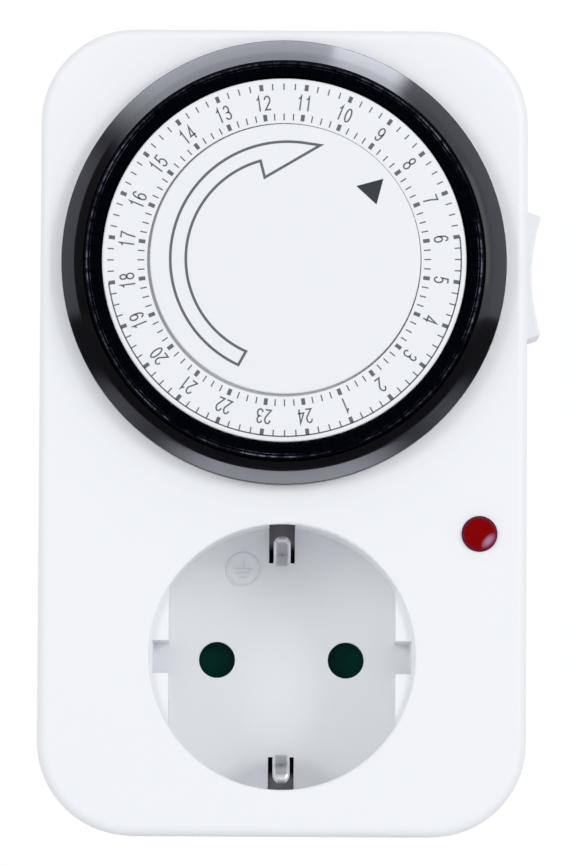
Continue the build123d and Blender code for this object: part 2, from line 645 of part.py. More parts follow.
def motor_can():
    can = disc(*MOTOR_CENTRE, MOTOR_RADIUS, MOTOR_REAR_Y - COVER_THICK, PLATE_Y[0])
    can -= disc(*MOTOR_CENTRE, MOTOR_RADIUS - MOTOR_SKIN, MOTOR_REAR_Y - COVER_THICK, PLATE_Y[0] + MOTOR_SKIN)
    return can - disc(*MOTOR_CENTRE, SHAFT_RADIUS + RUNNING_PLAY, PLATE_Y[0] + MOTOR_SKIN, PLATE_Y[0])


def motor_cover():
    cover = disc(*MOTOR_CENTRE, MOTOR_RADIUS, MOTOR_REAR_Y, MOTOR_REAR_Y - COVER_THICK)
    return cover - disc(*MOTOR_CENTRE, SHAFT_RADIUS + RUNNING_PLAY, MOTOR_REAR_Y, MOTOR_REAR_Y - COVER_THICK)


def motor_coil():
    """The wound bobbin: two flanges, with the winding between them."""
    coil = tube(*MOTOR_CENTRE, COIL_OUTER_RADIUS - 1.2, COIL_INNER_RADIUS, *COIL_Y)
    for back in (COIL_Y[0], COIL_Y[1] + 0.8):
        coil += tube(*MOTOR_CENTRE, COIL_OUTER_RADIUS, COIL_INNER_RADIUS, back, back - 0.8)
    return coil


def motor_rotor():
    rotor = disc(*MOTOR_CENTRE, ROTOR_RADIUS, *ROTOR_Y)
    return rotor + disc(*MOTOR_CENTRE, SHAFT_RADIUS, MOTOR_REAR_Y + 0.3, REDUCER_Y[0] - 0.8)


def motor_reducer():
    """The sealed reduction unit of the motor, between its rotor and its output shaft."""
    case = disc(*MOTOR_CENTRE, REDUCER_RADIUS, *REDUCER_Y)
    case -= disc(*MOTOR_CENTRE, SHAFT_RADIUS + RUNNING_PLAY, REDUCER_Y[0], REDUCER_Y[0] - 1.0)
    return case


def switch_lever():
    """The lever: a nose under the tappets, a long arm, pivot stubs and a tip behind the moving blade."""
    arm_front, arm_back = LEVER_PIVOT_Y - LEVER_ARM_HALF, LEVER_PIVOT_Y + LEVER_ARM_HALF
    lever = block(LEVER_X, (arm_front, arm_back), (LEVER_TIP_Z, NOSE_Z + 1.6))
    nose_x = NOSE_RADIUS_ON_DIAL * math.cos(math.radians(NOSE_DEG_BELOW_AXIS))
    outline = [
        (arm_front + 0.1, NOSE_Z - 1.6), (arm_front + 0.1, NOSE_Z + 1.6),
        (NOSE_TIP_Y + 1.2, NOSE_Z + NOSE_HALF),
        (NOSE_TIP_Y, NOSE_Z + NOSE_HALF / 2), (NOSE_TIP_Y, NOSE_Z - NOSE_HALF / 2),
        (NOSE_TIP_Y + 1.2, NOSE_Z - NOSE_HALF),
    ]
    lever += extrude(Plane.YZ.offset(nose_x - 0.7) * polygon(outline), amount=1.4)
    tip = block(LEVER_X, (arm_front + 0.1, BLADE_ROOT_Y + 0.35), (LEVER_TIP_Z, LEVER_TIP_Z + 1.2))
    stub = Cylinder(LEVER_PIVOT_RADIUS, LEVER_X[1] - LEVER_X[0] + 3.6)
    return lever + tip + Pos(sum(LEVER_X) / 2, LEVER_PIVOT_Y, LEVER_PIVOT_Z) * Rot(0, 90, 0) * stub


def lever_spring():
    """A bent leaf between the plate and the back of the lever."""
    y0, y1 = PLATE_Y[0], LEVER_PIVOT_Y + LEVER_ARM_HALF
    z0, z1 = 66.0, 51.0
    t, bow = LEAF_THICK, y0 + 3.2
    outline = [
        (y0, z0 + 4), (y0, z0), (bow, z0 - 3), (bow, z1 + 4), (y1, z1), (y1, z1 - 1.5),
        (y1 + t, z1 - 1.5), (y1 + t, z1), (bow + t, z1 + 4), (bow + t, z0 - 3), (y0 + t, z0 + 0.2),
        (y0 + t, z0 + 4),
    ]
    leaf = strip_along_x(outline, 1.0)
    return Pos(sum(LEVER_X) / 2, 0, 0) * leaf


def moving_contact():
    """The moving blade: a rolled root that turns in the plate, a leaf, and a contact rivet."""
    front = BLADE_ROOT_Y - BLADE_THICK / 2
    blade = block(BLADE_X, (front, front + BLADE_THICK), (BLADE_ROOT_Z, BLADE_TOP_Z))
    root = Cylinder(BLADE_ROOT_RADIUS, BLADE_X[1] - BLADE_X[0] + 1.8)
    blade += Pos(sum(BLADE_X) / 2, BLADE_ROOT_Y, BLADE_ROOT_Z) * Rot(0, 90, 0) * root
    return blade + disc(sum(BLADE_X) / 2, CONTACT_Z, CONTACT_RADIUS, front + 0.1, front - 0.5)


def fixed_contact():
    """The fixed strip: a foot on the plate, a riser and a top that carries the other contact."""
    front, back, foot = FIXED_STRIP_Y[1], FIXED_STRIP_Y[0], PLATE_Y[1]
    outline = [
        (17.0, foot), (17.0, foot - 0.6), (20.9, foot - 0.6), (20.9, front),
        (28.0, front), (28.0, back), (21.5, back), (21.5, foot),
    ]
    strip = extrude(Plane.XY.offset(CONTACT_Z - 1.6) * polygon(outline), amount=3.2)
    rivet_y = BLADE_ROOT_Y - BLADE_THICK / 2 - 0.5 - CONTACT_GAP
    return strip + disc(sum(BLADE_X) / 2, CONTACT_Z, CONTACT_RADIUS, rivet_y, front + 0.1)


def override_rocker():
    """The rocker: a hollowed finger face, two moulded pivots and a finger towards the lever."""
    z, half = ROCKER_Z, ROCKER_HALF
    top = ThreePointArc((ROCKER_TIP_X, z + half), (ROCKER_MIDDLE_X, z), (ROCKER_TIP_X, z - half))
    lower = [
        (ROCKER_TIP_X, -half), (ROCKER_WALL_X, -ROCKER_WALL_HALF), (ROCKER_NECK_X, -ROCKER_NECK_HALF),
        (ROCKER_PIVOT_X + 0.2, -ROCKER_HUB_HALF), (ROCKER_PIVOT_X - 1.9, -ROCKER_HUB_HALF),
    ]
    sides = Polyline(*[(x, z + dz) for x, dz in lower], *[(x, z - dz) for x, dz in reversed(lower)])
    body = between(make_face(top + sides), *ROCKER_Y)
    reach = ROCKER_SIDE_PLAY + EAR_THICK - 0.1
    return body + disc(ROCKER_PIVOT_X, z, ROCKER_PIVOT_RADIUS, ROCKER_Y[0] + reach, ROCKER_Y[1] - reach)


def plug_pins():
    pins = []
    for side in (-1, 1):
        pin = disc(side * PIN_X, 0, PIN_RADIUS, PIN_LENGTH, 0)
        pin = fillet(pin.faces().sort_by(Axis.Y)[-1].edges(), PIN_TIP_ROUND)
        pin += disc(side * PIN_X, 0, PIN_SHANK_RADIUS, 0, PIN_INNER_Y)
        pin += disc(side * PIN_X, 0, PIN_COLLAR_RADIUS, -PLUG_FACE_THICK, -PLUG_FACE_THICK - PIN_COLLAR_THICK)
        pins.append(pin)
    return pins


def plug_insert():
    """The plate inside the plug that holds both pins against its face."""
    front = -PLUG_FACE_THICK - PIN_COLLAR_THICK
    plate = between(plug_outline(PLUG_WALL + 0.1), front, front - INSERT_THICK)
    for side in (-1, 1):
        plate -= disc(side * PIN_X, 0, PIN_SHANK_RADIUS + 0.02, front, front - INSERT_THICK)
        plate -= block((-3.2, 3.2), (front, front - INSERT_THICK), (side * 13.5, side * PLUG_RADIUS))
    return plate


def contact_sleeves():
    """The spring sleeves that grip an inserted plug's pins, each with a slit and a tail.

    The neutral one goes on as a strip to the neutral pin.
    """
    sleeves = []
    for side in (-1, 1):
        sleeve = tube(side * PIN_X, 0, SLEEVE_RADIUS, SLEEVE_BORE, *SLEEVE_Y)
        slit_z = (0, -SLEEVE_RADIUS - 1)
        sleeve -= block((side * PIN_X - 0.4, side * PIN_X + 0.4), (SLEEVE_Y[0] - 1.5, SLEEVE_Y[1]), slit_z)
        tail_x = side * (PIN_X - 2.2), side * (PIN_X + 2.2)
        sleeve += block(tail_x, (SLEEVE_Y[0] - 0.8, SLEEVE_Y[0]), (-3.0, TAIL_TOP_Z))
        sleeves.append(sleeve)
    link_x = -PIN_X - 2.0, -PIN_X + 2.0
    link_y = SLEEVE_Y[0] - 0.4, PIN_INNER_Y + 0.8
    sleeves[0] += block(link_x, link_y, (PIN_SHANK_RADIUS, PIN_SHANK_RADIUS + STRIP_THICK))
    return sleeves


def socket_insert():
    """The moulding behind the recess floor: it carries the shutter's post and boxes in the sleeves."""
    back, front = SOCKET_INSERT_Y
    plate = between(RectangleRounded(38.0, 21.6, 3.0), back, front)
    for x, z in insert_posts():
        plate -= disc(x, z, INSERT_POST_RADIUS + RUNNING_PLAY, back, front)
    plate += disc(0, 0, SHUTTER_POST_RADIUS, front, FLOOR_BACK_Y + 0.05)
    for side in (-1, 1):
        x = side * PIN_X
        plate -= disc(x, 0, PIN_HOLE_RADIUS, back, front)
        chamber = Rectangle(10.0, 10.0) - Rectangle(7.0, 7.0)
        plate += between(Pos(x, 0) * chamber, SLEEVE_Y[0] - 1.0, back)
    return plate


def safety_shutter():
    """The green shutter: two lobes that close the pin holes, turning on a post."""
    blank = Circle(SHUTTER_REACH) & Rectangle(3 * SHUTTER_REACH, 2 * SHUTTER_LOBE_HALF)
    return between(blank - Circle(SHUTTER_POST_RADIUS + RUNNING_PLAY), *SHUTTER_Y)


def shutter_spring():
    """A bent leaf from a post of the housing to the edge of one shutter lobe."""
    z = -SHUTTER_LOBE_HALF
    points = [
        (14.1, -8.3), (9.0, -9.6), (5.4, z - 3.0), (6.2, z),
        (6.6, z), (5.9, z - 2.9), (9.1, -9.3), (14.1, -8.0),
    ]
    return between(polygon(points), SHUTTER_Y[0] - LEAF_THICK, SHUTTER_Y[1] + LEAF_THICK)


def earth_bar():
    """The bracket behind the recess: a bar across it and two limbs outside its top and bottom."""
    back, front = EARTH_BAR_Y
    reach, t = EARTH_BAR_REACH, 1.0
    bar = block((-EARTH_BAR_HALF, EARTH_BAR_HALF), (back, front), (-reach, reach))
    for side in (-1, 1):
        limb_z = side * (reach - t), side * reach
        bar += block((-EARTH_BAR_HALF, EARTH_BAR_HALF), (back, EARTH_SLOT_FRONT_Y + 2.5), limb_z)
    return bar


def beside(points, distance):
    """The line of points moved sideways by a distance, with mitred corners."""
    moved = []
    for k, (y, z) in enumerate(points):
        headings = []
        for a, b in ((k - 1, k), (k, k + 1)):
            if a >= 0 and b < len(points):
                headings.append(math.atan2(points[b][1] - points[a][1], points[b][0] - points[a][0]))
        middle = sum(headings) / len(headings)
        reach = distance / math.cos(middle - headings[0])
        moved.append((y - reach * math.sin(middle), z + reach * math.cos(middle)))
    return moved


def bent_strip(points, half_x, thick):
    """A strip of even thickness along points drawn as (y, z), as wide as half_x each side of the middle."""
    outline = beside(points, thick / 2) + beside(points, -thick / 2)[::-1]
    return strip_along_x(outline, half_x)


def earth_clips():
    """The sprung clips, riveted to the bar. They bow in towards an inserted plug and end in rounded tips."""
    clips = []
    foot_y = EARTH_BAR_Y[1] - STRIP_THICK / 2
    for side in (-1, 1):
        tip_y, tip_z = CLIP_TIP[0], side * CLIP_TIP[1]
        root_z = side * CLIP_ROOT_Z
        foot = [(foot_y, side * CLIP_FOOT_Z), (foot_y, root_z)]
        route = foot + [(FLOOR_Y, root_z), (CLIP_KNEE[0], side * CLIP_KNEE[1]), (tip_y, tip_z)]
        clips.append(bent_strip(route, CLIP_HALF, STRIP_THICK) + Pos(0, tip_y, tip_z) * Sphere(CLIP_HALF))
    return clips


def plug_earth_contacts():
    """The earth strips in the top and bottom of the plug, bowed out where a wall socket's clips touch."""
    strips = []
    for side in (-1, 1):
        route = [(y, side * z) for y, z in PLUG_STRIP_ROUTE]
        strips.append(bent_strip(route, PLUG_STRIP_HALF, STRIP_THICK))
    return strips


def lamp_lens():
    """The red lens: a low dome in front, a flange behind the wall, and a hollow for the lamp."""
    dome_edge = (LENS_RADIUS, FRONT_Y - 0.1)
    top = (0.0, FRONT_Y - LENS_PROUD)
    bend = (LENS_RADIUS * 0.62, FRONT_Y - LENS_PROUD * 0.78)
    dome = ThreePointArc(top, bend, dome_edge)
    rear, hollow_y = FRONT_INSIDE_Y + 1.0, FRONT_Y + LENS_HOLLOW_DEPTH
    wall = Polyline(
        dome_edge, (LENS_RADIUS, FRONT_INSIDE_Y), (LENS_FLANGE_RADIUS, FRONT_INSIDE_Y),
        (LENS_FLANGE_RADIUS, rear),
        (LENS_HOLLOW_RADIUS, rear), (LENS_HOLLOW_RADIUS, hollow_y), (0.0, hollow_y), top,
    )
    return turned(make_face(dome + wall), LAMP_X, LAMP_Z)


def neon_lamp():
    """The glass bulb behind the lens, and its series resistor."""
    bulb = disc(LAMP_X, LAMP_Z, BULB_RADIUS, BULB_Y[0], BULB_Y[1])
    bulb = fillet(bulb.faces().sort_by(Axis.Y)[0].edges(), 1.2)
    resistor = disc(*RESISTOR_AT, RESISTOR_RADIUS, *RESISTOR_Y)
    return [bulb, fillet(resistor.edges(), 0.4)]


def wire(points, radius=THIN_WIRE, bend=2.0):
    """An insulated lead: straight runs joined by arcs."""
    path = FilletPolyline(*points, radius=bend)
    along = [b - a for a, b in zip(points[0], points[1])]
    return sweep(Plane(origin=points[0], z_dir=along) * Circle(radius), path=path)


def wires():
    """The leads: pin to switch, switch to sleeve, two for the motor, and three for the lamp."""
    tail_y, tail_z = WIRE_TAIL_Y, TAIL_TOP_Z
    blade_x = sum(BLADE_X) / 2
    foot_y = PLATE_Y[1] - THIN_WIRE - 0.05
    motor_x, motor_z = MOTOR_CENTRE[0], MOTOR_CENTRE[1] - MOTOR_RADIUS
    lead_x, lead_z = RESISTOR_AT
    routes = [
        [(17.0, foot_y, CONTACT_Z), (14.0, foot_y, CONTACT_Z), (14.0, foot_y, 24.0), (11.0, tail_y, 24.0),
         (11.0, tail_y, tail_z)],
        [(motor_x - 0.9, -30.0, motor_z), (motor_x - 0.9, -30.0, 30.0), (-10.6, tail_y, 22.0),
         (-10.6, tail_y, tail_z)],
        [(motor_x + 0.9, -30.0, motor_z), (motor_x + 0.9, -30.0, 33.0), (8.0, tail_y, 26.0),
         (8.0, tail_y, tail_z)],
        [(LAMP_X - 0.6, BULB_Y[0], LAMP_Z - 0.6), (LAMP_X - 0.6, -27.0, LAMP_Z - 0.6), (12.0, -27.0, 9.5),
         (-8.4, -27.0, 9.5), (-8.4, tail_y, 9.0), (-8.4, tail_y, tail_z)],
        [(lead_x, RESISTOR_Y[0], lead_z), (lead_x, -30.0, lead_z), (9.5, -30.0, 16.0), (9.5, tail_y, 12.0),
         (9.5, tail_y, tail_z)],
    ]
    leads = [wire(route) for route in routes]
    leads.append(disc(*RESISTOR_AT, THIN_WIRE / 2, BULB_Y[0], RESISTOR_Y[1]))
    end_y, end_z = PLATE_Y[1] - THICK_WIRE - 0.05, BLADE_ROOT_Z - 0.6
    pin_to_switch = [
        (PIN_X, PIN_INNER_Y, 0.0), (PIN_X, -20.3, 0.0), (blade_x, -20.3, 0.0), (blade_x, -26.0, 12.0),
        (blade_x, end_y, 21.0), (blade_x, end_y, end_z),
    ]
    leads.append(wire(pin_to_switch, THICK_WIRE))
    return leads


SUB_PARTS = {
    "front_housing": front_housing,
    "rear_housing": rear_housing,
    "housing_screws": housing_screws,
    "guard_ring": guard_ring,
    "hour_ring": hour_ring,
    "centre_disc": centre_disc,
    "dial_drum": dial_drum,
    "dial_gear": dial_gear,
    "final_gear": final_gear,
    "middle_gear": middle_gear,
    "motor_pinion": motor_pinion,
    "gear_arbors": gear_arbors,
    "movement_plate": movement_plate,
    "plate_screws": plate_screws,
    "motor_can": motor_can,
    "motor_cover": motor_cover,
    "motor_coil": motor_coil,
    "motor_rotor": motor_rotor,
    "motor_reducer": motor_reducer,
    "switch_lever": switch_lever,
    "lever_spring": lever_spring,
    "moving_contact": moving_contact,
    "fixed_contact": fixed_contact,
    "override_rocker": override_rocker,
    "plug_pins": plug_pins,
    "plug_insert": plug_insert,
    "contact_sleeves": contact_sleeves,
    "socket_insert": socket_insert,
    "safety_shutter": safety_shutter,
    "shutter_spring": shutter_spring,
    "earth_bar": earth_bar,
    "earth_clips": earth_clips,
    "plug_earth_contacts": plug_earth_contacts,
    "lamp_lens": lamp_lens,
    "neon_lamp": neon_lamp,
    "wires": wires,
}


def save(name, made):
    solids = made if isinstance(made, list) else [made]
    solids = [solid for shape in solids for solid in shape.solids()]
    export_step(solids[0] if len(solids) == 1 else Compound(solids), f"parts/{name}.step")


def main():
    os.makedirs("parts", exist_ok=True)
    for name, make in SUB_PARTS.items():
        save(name, make())
    for hour in range(24):
        save(f"tappets_{hour:02d}", hour_tappets(hour))


main()
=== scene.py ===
import math

import bmesh
import bpy
import numpy as np
from bpy.props import FloatProperty, FloatVectorProperty, IntProperty, PointerProperty
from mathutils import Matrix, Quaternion, Vector


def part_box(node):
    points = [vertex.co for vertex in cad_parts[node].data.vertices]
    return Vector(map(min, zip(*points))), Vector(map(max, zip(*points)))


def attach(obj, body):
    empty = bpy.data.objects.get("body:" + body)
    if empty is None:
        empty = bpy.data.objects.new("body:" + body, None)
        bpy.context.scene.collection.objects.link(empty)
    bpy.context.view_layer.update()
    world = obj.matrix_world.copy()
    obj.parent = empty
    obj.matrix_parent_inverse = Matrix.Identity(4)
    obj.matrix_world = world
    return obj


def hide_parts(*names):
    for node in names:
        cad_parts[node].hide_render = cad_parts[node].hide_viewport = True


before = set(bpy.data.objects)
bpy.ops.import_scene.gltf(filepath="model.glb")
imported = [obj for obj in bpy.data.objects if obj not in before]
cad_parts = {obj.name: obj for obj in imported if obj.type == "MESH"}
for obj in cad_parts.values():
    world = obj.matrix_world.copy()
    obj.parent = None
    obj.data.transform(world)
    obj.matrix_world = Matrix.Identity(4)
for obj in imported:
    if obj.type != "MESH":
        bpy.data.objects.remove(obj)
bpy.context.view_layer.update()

bl_info = {
    "name": "Plug-in Timer Looks",
    "version": (1, 0, 0),
    "blender": (4, 5, 0),
    "location": "View3D > Sidebar > Timer",
    "description": "Builds the finished pieces, materials and studio of a plug-in day timer",
    "category": "Object",
}

MM = 0.001
HOURS = 24
TAPPETS_PER_HOUR = 4
PITCH = 360.0 / (HOURS * TAPPETS_PER_HOUR)
# How near two points of a mesh are merged, in metres
MERGE = 1e-7
# How wide a digit is for its height
DIGIT_WIDTH = 0.46

# Planes and middles that pieces share
FRONT_Y = -0.055
RING_LOW, RING_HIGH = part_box("hour_ring")
DIAL_FACE_Y = RING_LOW.y
DIAL_X, DIAL_Z = (RING_LOW.x + RING_HIGH.x) / 2, (RING_LOW.z + RING_HIGH.z) / 2
DISC_FACE_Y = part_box("centre_disc")[0].y
LENS_LOW, LENS_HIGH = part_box("lamp_lens")
LENS_MIDDLE = (LENS_LOW + LENS_HIGH) / 2
RECESS_FLOOR_Y = FRONT_Y + 17.5 * MM


def linear(red, green, blue):
    """A colour written as 0 to 255 in the display's scale, turned into the light's own linear scale."""
    values = np.array([red, green, blue]) / 255.0
    return tuple(np.where(values <= 0.04045, values / 12.92, ((values + 0.055) / 1.055) ** 2.4).tolist())


def number(name, description, default, **more):
    return FloatProperty(name=name, description=description, default=default, min=0.0, **more)


def length(name, description, millimetres):
    return number(name, description, millimetres * MM, subtype="DISTANCE", unit="LENGTH", precision=5)


def power(name, description, watts):
    return number(name, description, watts, subtype="POWER", unit="POWER")


def angle(name, description, degrees):
    return FloatProperty(name=name, description=description, default=math.radians(degrees), subtype="ANGLE",
                         unit="ROTATION")


def colour(name, description, red, green, blue):
    return FloatVectorProperty(name=name, description=description, default=linear(red, green, blue),
                               subtype="COLOR", size=3, min=0.0, max=1.0)


class TimerColours(bpy.types.PropertyGroup):
    housing: colour("Housing", "Colour of the moulded housing", 240, 242, 245)
    dial: colour("Dial", "Colour of the hour ring and the fixed disc", 234, 236, 240)
    black: colour("Black", "Colour of the glossy collar", 4, 4, 9)
    tappet: colour("Tappets", "Colour of the quarter-hour tappets", 1, 2, 7)
    printing: colour("Printing", "Colour of the numerals, ticks and arrow", 106, 109, 116)
    mark: colour("Mark", "Colour of the solid triangle", 62, 64, 72)
    lamp: colour("Lamp", "Colour of the lamp's lens", 128, 0, 2)
    shutter: colour("Shutter", "Colour of the safety shutter", 0, 46, 40)
    nickel: colour("Nickel", "Colour of the plated contacts", 166, 166, 172)


class TimerCollar(bpy.types.PropertyGroup):
    foot_radius: length("Foot radius", "Radius of the collar where it meets the housing", 32.4)
    side_height: length("Side height", "Height of the collar's upright side", 2.1)
    shoulder_radius: length("Shoulder radius", "Radius where the slope meets the dome", 30.6)
    shoulder_height: length("Shoulder height", "Height of that line above the housing", 3.4)
    crest_radius: length("Crest radius", "Radius of the collar's highest line", 29.22)
    crest_height: length("Crest height", "Height of the crest above the housing", 4.1)
    lip_radius: length("Lip radius", "Radius of the thin lip inside the crest", 29.08)
    inner_radius: length("Inner radius", "Radius of the collar's bore", 29.35)
    spigot_radius: length("Spigot radius", "Radius of the part that is pressed into the housing", 30.5)
    spigot_depth: length("Spigot depth", "How far the spigot goes into the housing", 3.2)


class TimerDial(bpy.types.PropertyGroup):
    outer_tick_inner: length("Outer ticks from", "Inner radius of the outer ticks", 24.7)
    outer_tick_outer: length("Outer ticks to", "Outer radius of the outer ticks", 25.62)
    inner_tick_inner: length("Inner ticks from", "Inner radius of the inner ticks", 20.28)
    inner_tick_outer: length("Inner ticks to", "Outer radius of the inner ticks", 21.24)
    hour_tick_width: length("Hour tick", "Width of the tick at an hour", 0.56)
    tick_width: length("Quarter tick", "Width of the tick at a quarter hour", 0.18)
    numeral_radius: length("Numeral radius", "Radius at the middle of the numerals", 22.9)
    numeral_height: length("Numeral height", "Height of the numerals", 2.18)
    numeral_advance: length("Numeral advance", "Step from one digit to the next", 1.17)
    numeral_stroke: length("Numeral stroke", "Width of the numerals' strokes", 0.22)
    night_arc_width: length("Night arc", "Width of the arc over the night hours", 0.2)
    arrow_line: length("Arrow line", "Width of the arrow's line", 0.39)
    print_height: length("Print height", "How far the printing stands on the face", 0.015)
    print_turn: angle("Print turn", "Turn of the printing on its face, clockwise", -0.4)


class TimerTappets(bpy.types.PropertyGroup):
    inner_radius: length("Inner radius", "Radius of a tappet's inner side", 26.78)
    outer_radius: length("Outer radius", "Radius of a tappet's outer side", 28.95)
    side_gap: length("Side gap", "Half of the gap between two tappets", 0.05)
    ridge_depth: length("Groove depth", "Depth of the two grooves in a tappet's face", 0.07)
    edge: length("Edge", "Size of the rounded edges", 0.12)


class TimerLamp(bpy.types.PropertyGroup):
    radius: length("Radius", "Radius of the lens", 2.52)
    proud: length("Height", "How far the lens stands out of the housing", 1.0)
    bevel: length("Bevel", "Width of the lens's bevelled rim", 0.4)


class TimerStudio(bpy.types.PropertyGroup):
    floor_drop: length("Floor", "How far the floor lies below the origin", 120.0)
    surround: number("Surround", "Strength of the light from all around", 0.66)
    above_glow: number("Above", "Brightness of the panel that the collar mirrors from above", 43.0)
    window_glow: number("Window", "Brightness of the strip beside it", 82.0)
    right_glow: number("Mirror right", "Brightness of the panel that the collar mirrors at the right", 9.0)
    left_glow: number("Mirror left", "Brightness of the panel that the collar mirrors at the left", 7.5)
    below_glow: number("Below", "Brightness of the strip that the collar mirrors from below", 40.0)
    low_glow: number("Low sides", "Brightness of the strips at its two sides", 8.0)
    right_power: power("Right", "Power of the soft light at the right", 4.8)
    left_power: power("Left", "Power of the soft light at the left", 3.6)
    roll: angle("Roll", "Turn of the camera about its own axis", 0.315)
    steps: IntProperty(name="Steps", description="Steps around a round piece", default=256, min=24)


GROUPS = {
    "timer_colours": TimerColours,
    "timer_collar": TimerCollar,
    "timer_dial": TimerDial,
    "timer_tappets": TimerTappets,
    "timer_lamp": TimerLamp,
    "timer_studio": TimerStudio,
}


# Shapes

def grid_faces(rows, columns, wrap_rows=False, wrap_columns=False):
    """Quads between neighbouring points of a grid, whose last row or column may join its first."""
    r = np.arange(rows if wrap_rows else rows - 1)
    c = np.arange(columns if wrap_columns else columns - 1)
    r, c = np.meshgrid(r, c, indexing="ij")
    r2, c2 = (r + 1) % rows, (c + 1) % columns
    corners = [r * columns + c, r2 * columns + c, r2 * columns + c2, r * columns + c2]
    return np.stack(corners, axis=-1).reshape(-1, 4)


def mesh_object(name, points, faces):
    """A mesh object made from an array of points and lists of faces, all in the part's own frame."""
    mesh = bpy.data.meshes.new(name)
    mesh.from_pydata(np.asarray(points, float).reshape(-1, 3).tolist(), [], [list(f) for f in faces])
    mesh.validate()
    mesh.update()
    made = bpy.data.objects.new(name, mesh)
    bpy.context.scene.collection.objects.link(made)
    return made


def join_parts(parts):
    """Puts several (points, faces) pairs into one, with each part's faces counted on from the last."""
    points, faces, start = [], [], 0
    for part_points, part_faces in parts:
        flat = np.asarray(part_points, float).reshape(-1, 3)
        points.append(flat)
        faces += [[int(i) + start for i in face] for face in part_faces]
        start += len(flat)
    return np.concatenate(points), faces


def revolved(profile, x, z, steps):
    """A profile of (radius, y) turned about an axis along Y: at an angle a the point is
    (x + r cos a, y, z + r sin a). The profile is closed, or has both ends on the axis."""
    profile = np.asarray(profile, float)
    a = np.arange(steps) * 2 * math.pi / steps
    r, y = profile[:, 0], profile[:, 1]
    points = np.stack([
        x + np.outer(r, np.cos(a)),
        np.repeat(y[:, None], steps, axis=1),
        z + np.outer(r, np.sin(a)),
    ], axis=-1)
    closed = r[0] > 0 or r[-1] > 0
    return points, grid_faces(len(profile), steps, wrap_rows=closed, wrap_columns=True)


def rounded_line(points, radius, steps):
    """A line of points with its inner corners rounded: each is a curve between the two points that lie one
    radius from it on its sides, drawn towards the corner."""
    points = np.asarray(points, float)
    radius = np.broadcast_to(radius, len(points))
    made = [points[:1]]
    for k in range(1, len(points) - 1):
        before, corner, after = points[k - 1], points[k], points[k + 1]
        start = corner + (before - corner) * radius[k] / np.linalg.norm(before - corner)
        end = corner + (after - corner) * radius[k] / np.linalg.norm(after - corner)
        made.append(bent(start, corner, end, steps) if radius[k] > 0 else corner[None])
    return np.concatenate(made + [points[-1:]])


def bent(start, pull, end, count):
    """A curve of count points from a start to an end, drawn towards a pull point: (1-t)^2 times the start,
    plus 2t(1-t) times the pull, plus t^2 times the end."""
    t = np.linspace(0, 1, count)[:, None]
    return (1 - t) ** 2 * np.array(start) + 2 * t * (1 - t) * np.array(pull) + t ** 2 * np.array(end)


def oval(x, y, rx, ry, start_deg, end_deg, count=17):
    """Points of an ellipse's arc: (x + rx cos a, y + ry sin a), a counted anticlockwise from the right."""
    a = np.radians(np.linspace(start_deg, end_deg, count))
    return np.stack([x + rx * np.cos(a), y + ry * np.sin(a)], axis=1)


def ribbon(points, width, closed=False):
    """A flat line of even width. Its two edges are the points moved half a width to each side along the
    bisector of the neighbouring runs, divided by the cosine of half the bend."""
    p = np.asarray(points, float)
    run = np.diff(np.concatenate([p, p[:1]]) if closed else p, axis=0)
    run /= np.linalg.norm(run, axis=1)[:, None]
    before = np.roll(run, 1, axis=0) if closed else np.concatenate([run[:1], run])
    after = run if closed else np.concatenate([run, run[-1:]])
    side = np.stack([before[:, 1] + after[:, 1], -before[:, 0] - after[:, 0]], axis=1)
    side /= np.linalg.norm(side, axis=1)[:, None]
    cosine = side[:, 0] * after[:, 1] - side[:, 1] * after[:, 0]
    shift = side * (width / 2 / np.maximum(cosine, 0.25))[:, None]
    rows = np.stack([p - shift, p + shift], axis=1)
    return rows, grid_faces(len(p), 2, wrap_rows=closed)


def on_face(flat, y):
    """Points drawn as (x, z) set at a depth y."""
    flat = np.asarray(flat, float).reshape(-1, 2)
    return np.stack([flat[:, 0], np.full(len(flat), y), flat[:, 1]], axis=1)


def around(radius, clockwise_deg, x=DIAL_X, z=DIAL_Z, across=0.0):
    """Points at a radius r and a step s across it, turned by an angle counted clockwise from the top, as the
    front shows it: (x + r sin a + s cos a, z + r cos a - s sin a)."""
    sine, cosine = np.sin(np.radians(clockwise_deg)), np.cos(np.radians(clockwise_deg))
    return np.stack([x + radius * sine + across * cosine, z + radius * cosine - across * sine], axis=-1)


def prism(outline, low_y, high_y):
    """A closed outline of (x, z) points carried straight from one depth to another, closed at both ends."""
    outline = np.asarray(outline, float)
    count = len(outline)
    points = np.concatenate([on_face(outline, low_y), on_face(outline, high_y)])
    sides = grid_faces(2, count, wrap_columns=True)
    return points, [list(f) for f in sides] + [list(range(count))[::-1], list(range(count, 2 * count))]


def carried_section(path, half_width, half_thick, corner, count=20):
    """A flat bar along a path of (y, z) points, closed at both ends. At each point stands a rounded rectangle
    of half width w along X and half thickness t along the path's normal, whose points are w and t times the
    cosine and the sine of an angle, each raised to a power that sets how full the corners are."""
    path = np.asarray(path, float)
    run = np.gradient(path, axis=0)
    run /= np.linalg.norm(run, axis=1)[:, None]
    normal = np.stack([-run[:, 1], run[:, 0]], axis=1)
    a = np.arange(count) * 2 * math.pi / count
    u = np.sign(np.cos(a)) * np.abs(np.cos(a)) ** corner
    v = np.sign(np.sin(a)) * np.abs(np.sin(a)) ** corner
    x = np.outer(half_width, u)
    y = path[:, :1] + np.outer(half_thick * normal[:, 0], v)
    z = path[:, 1:] + np.outer(half_thick * normal[:, 1], v)
    points = np.stack([x, y, z], axis=-1)
    last = (len(path) - 1) * count
    faces = [list(f) for f in grid_faces(len(path), count, wrap_columns=True)]
    faces += [list(range(count)), [last + k for k in range(count)][::-1]]
    return points, faces


# Finishing

def edited(made, change):
    """Opens a piece's mesh for a change and writes it back."""
    work = bmesh.new()
    work.from_mesh(made.data)
    change(work)
    work.to_mesh(made.data)
    work.free()
    return made


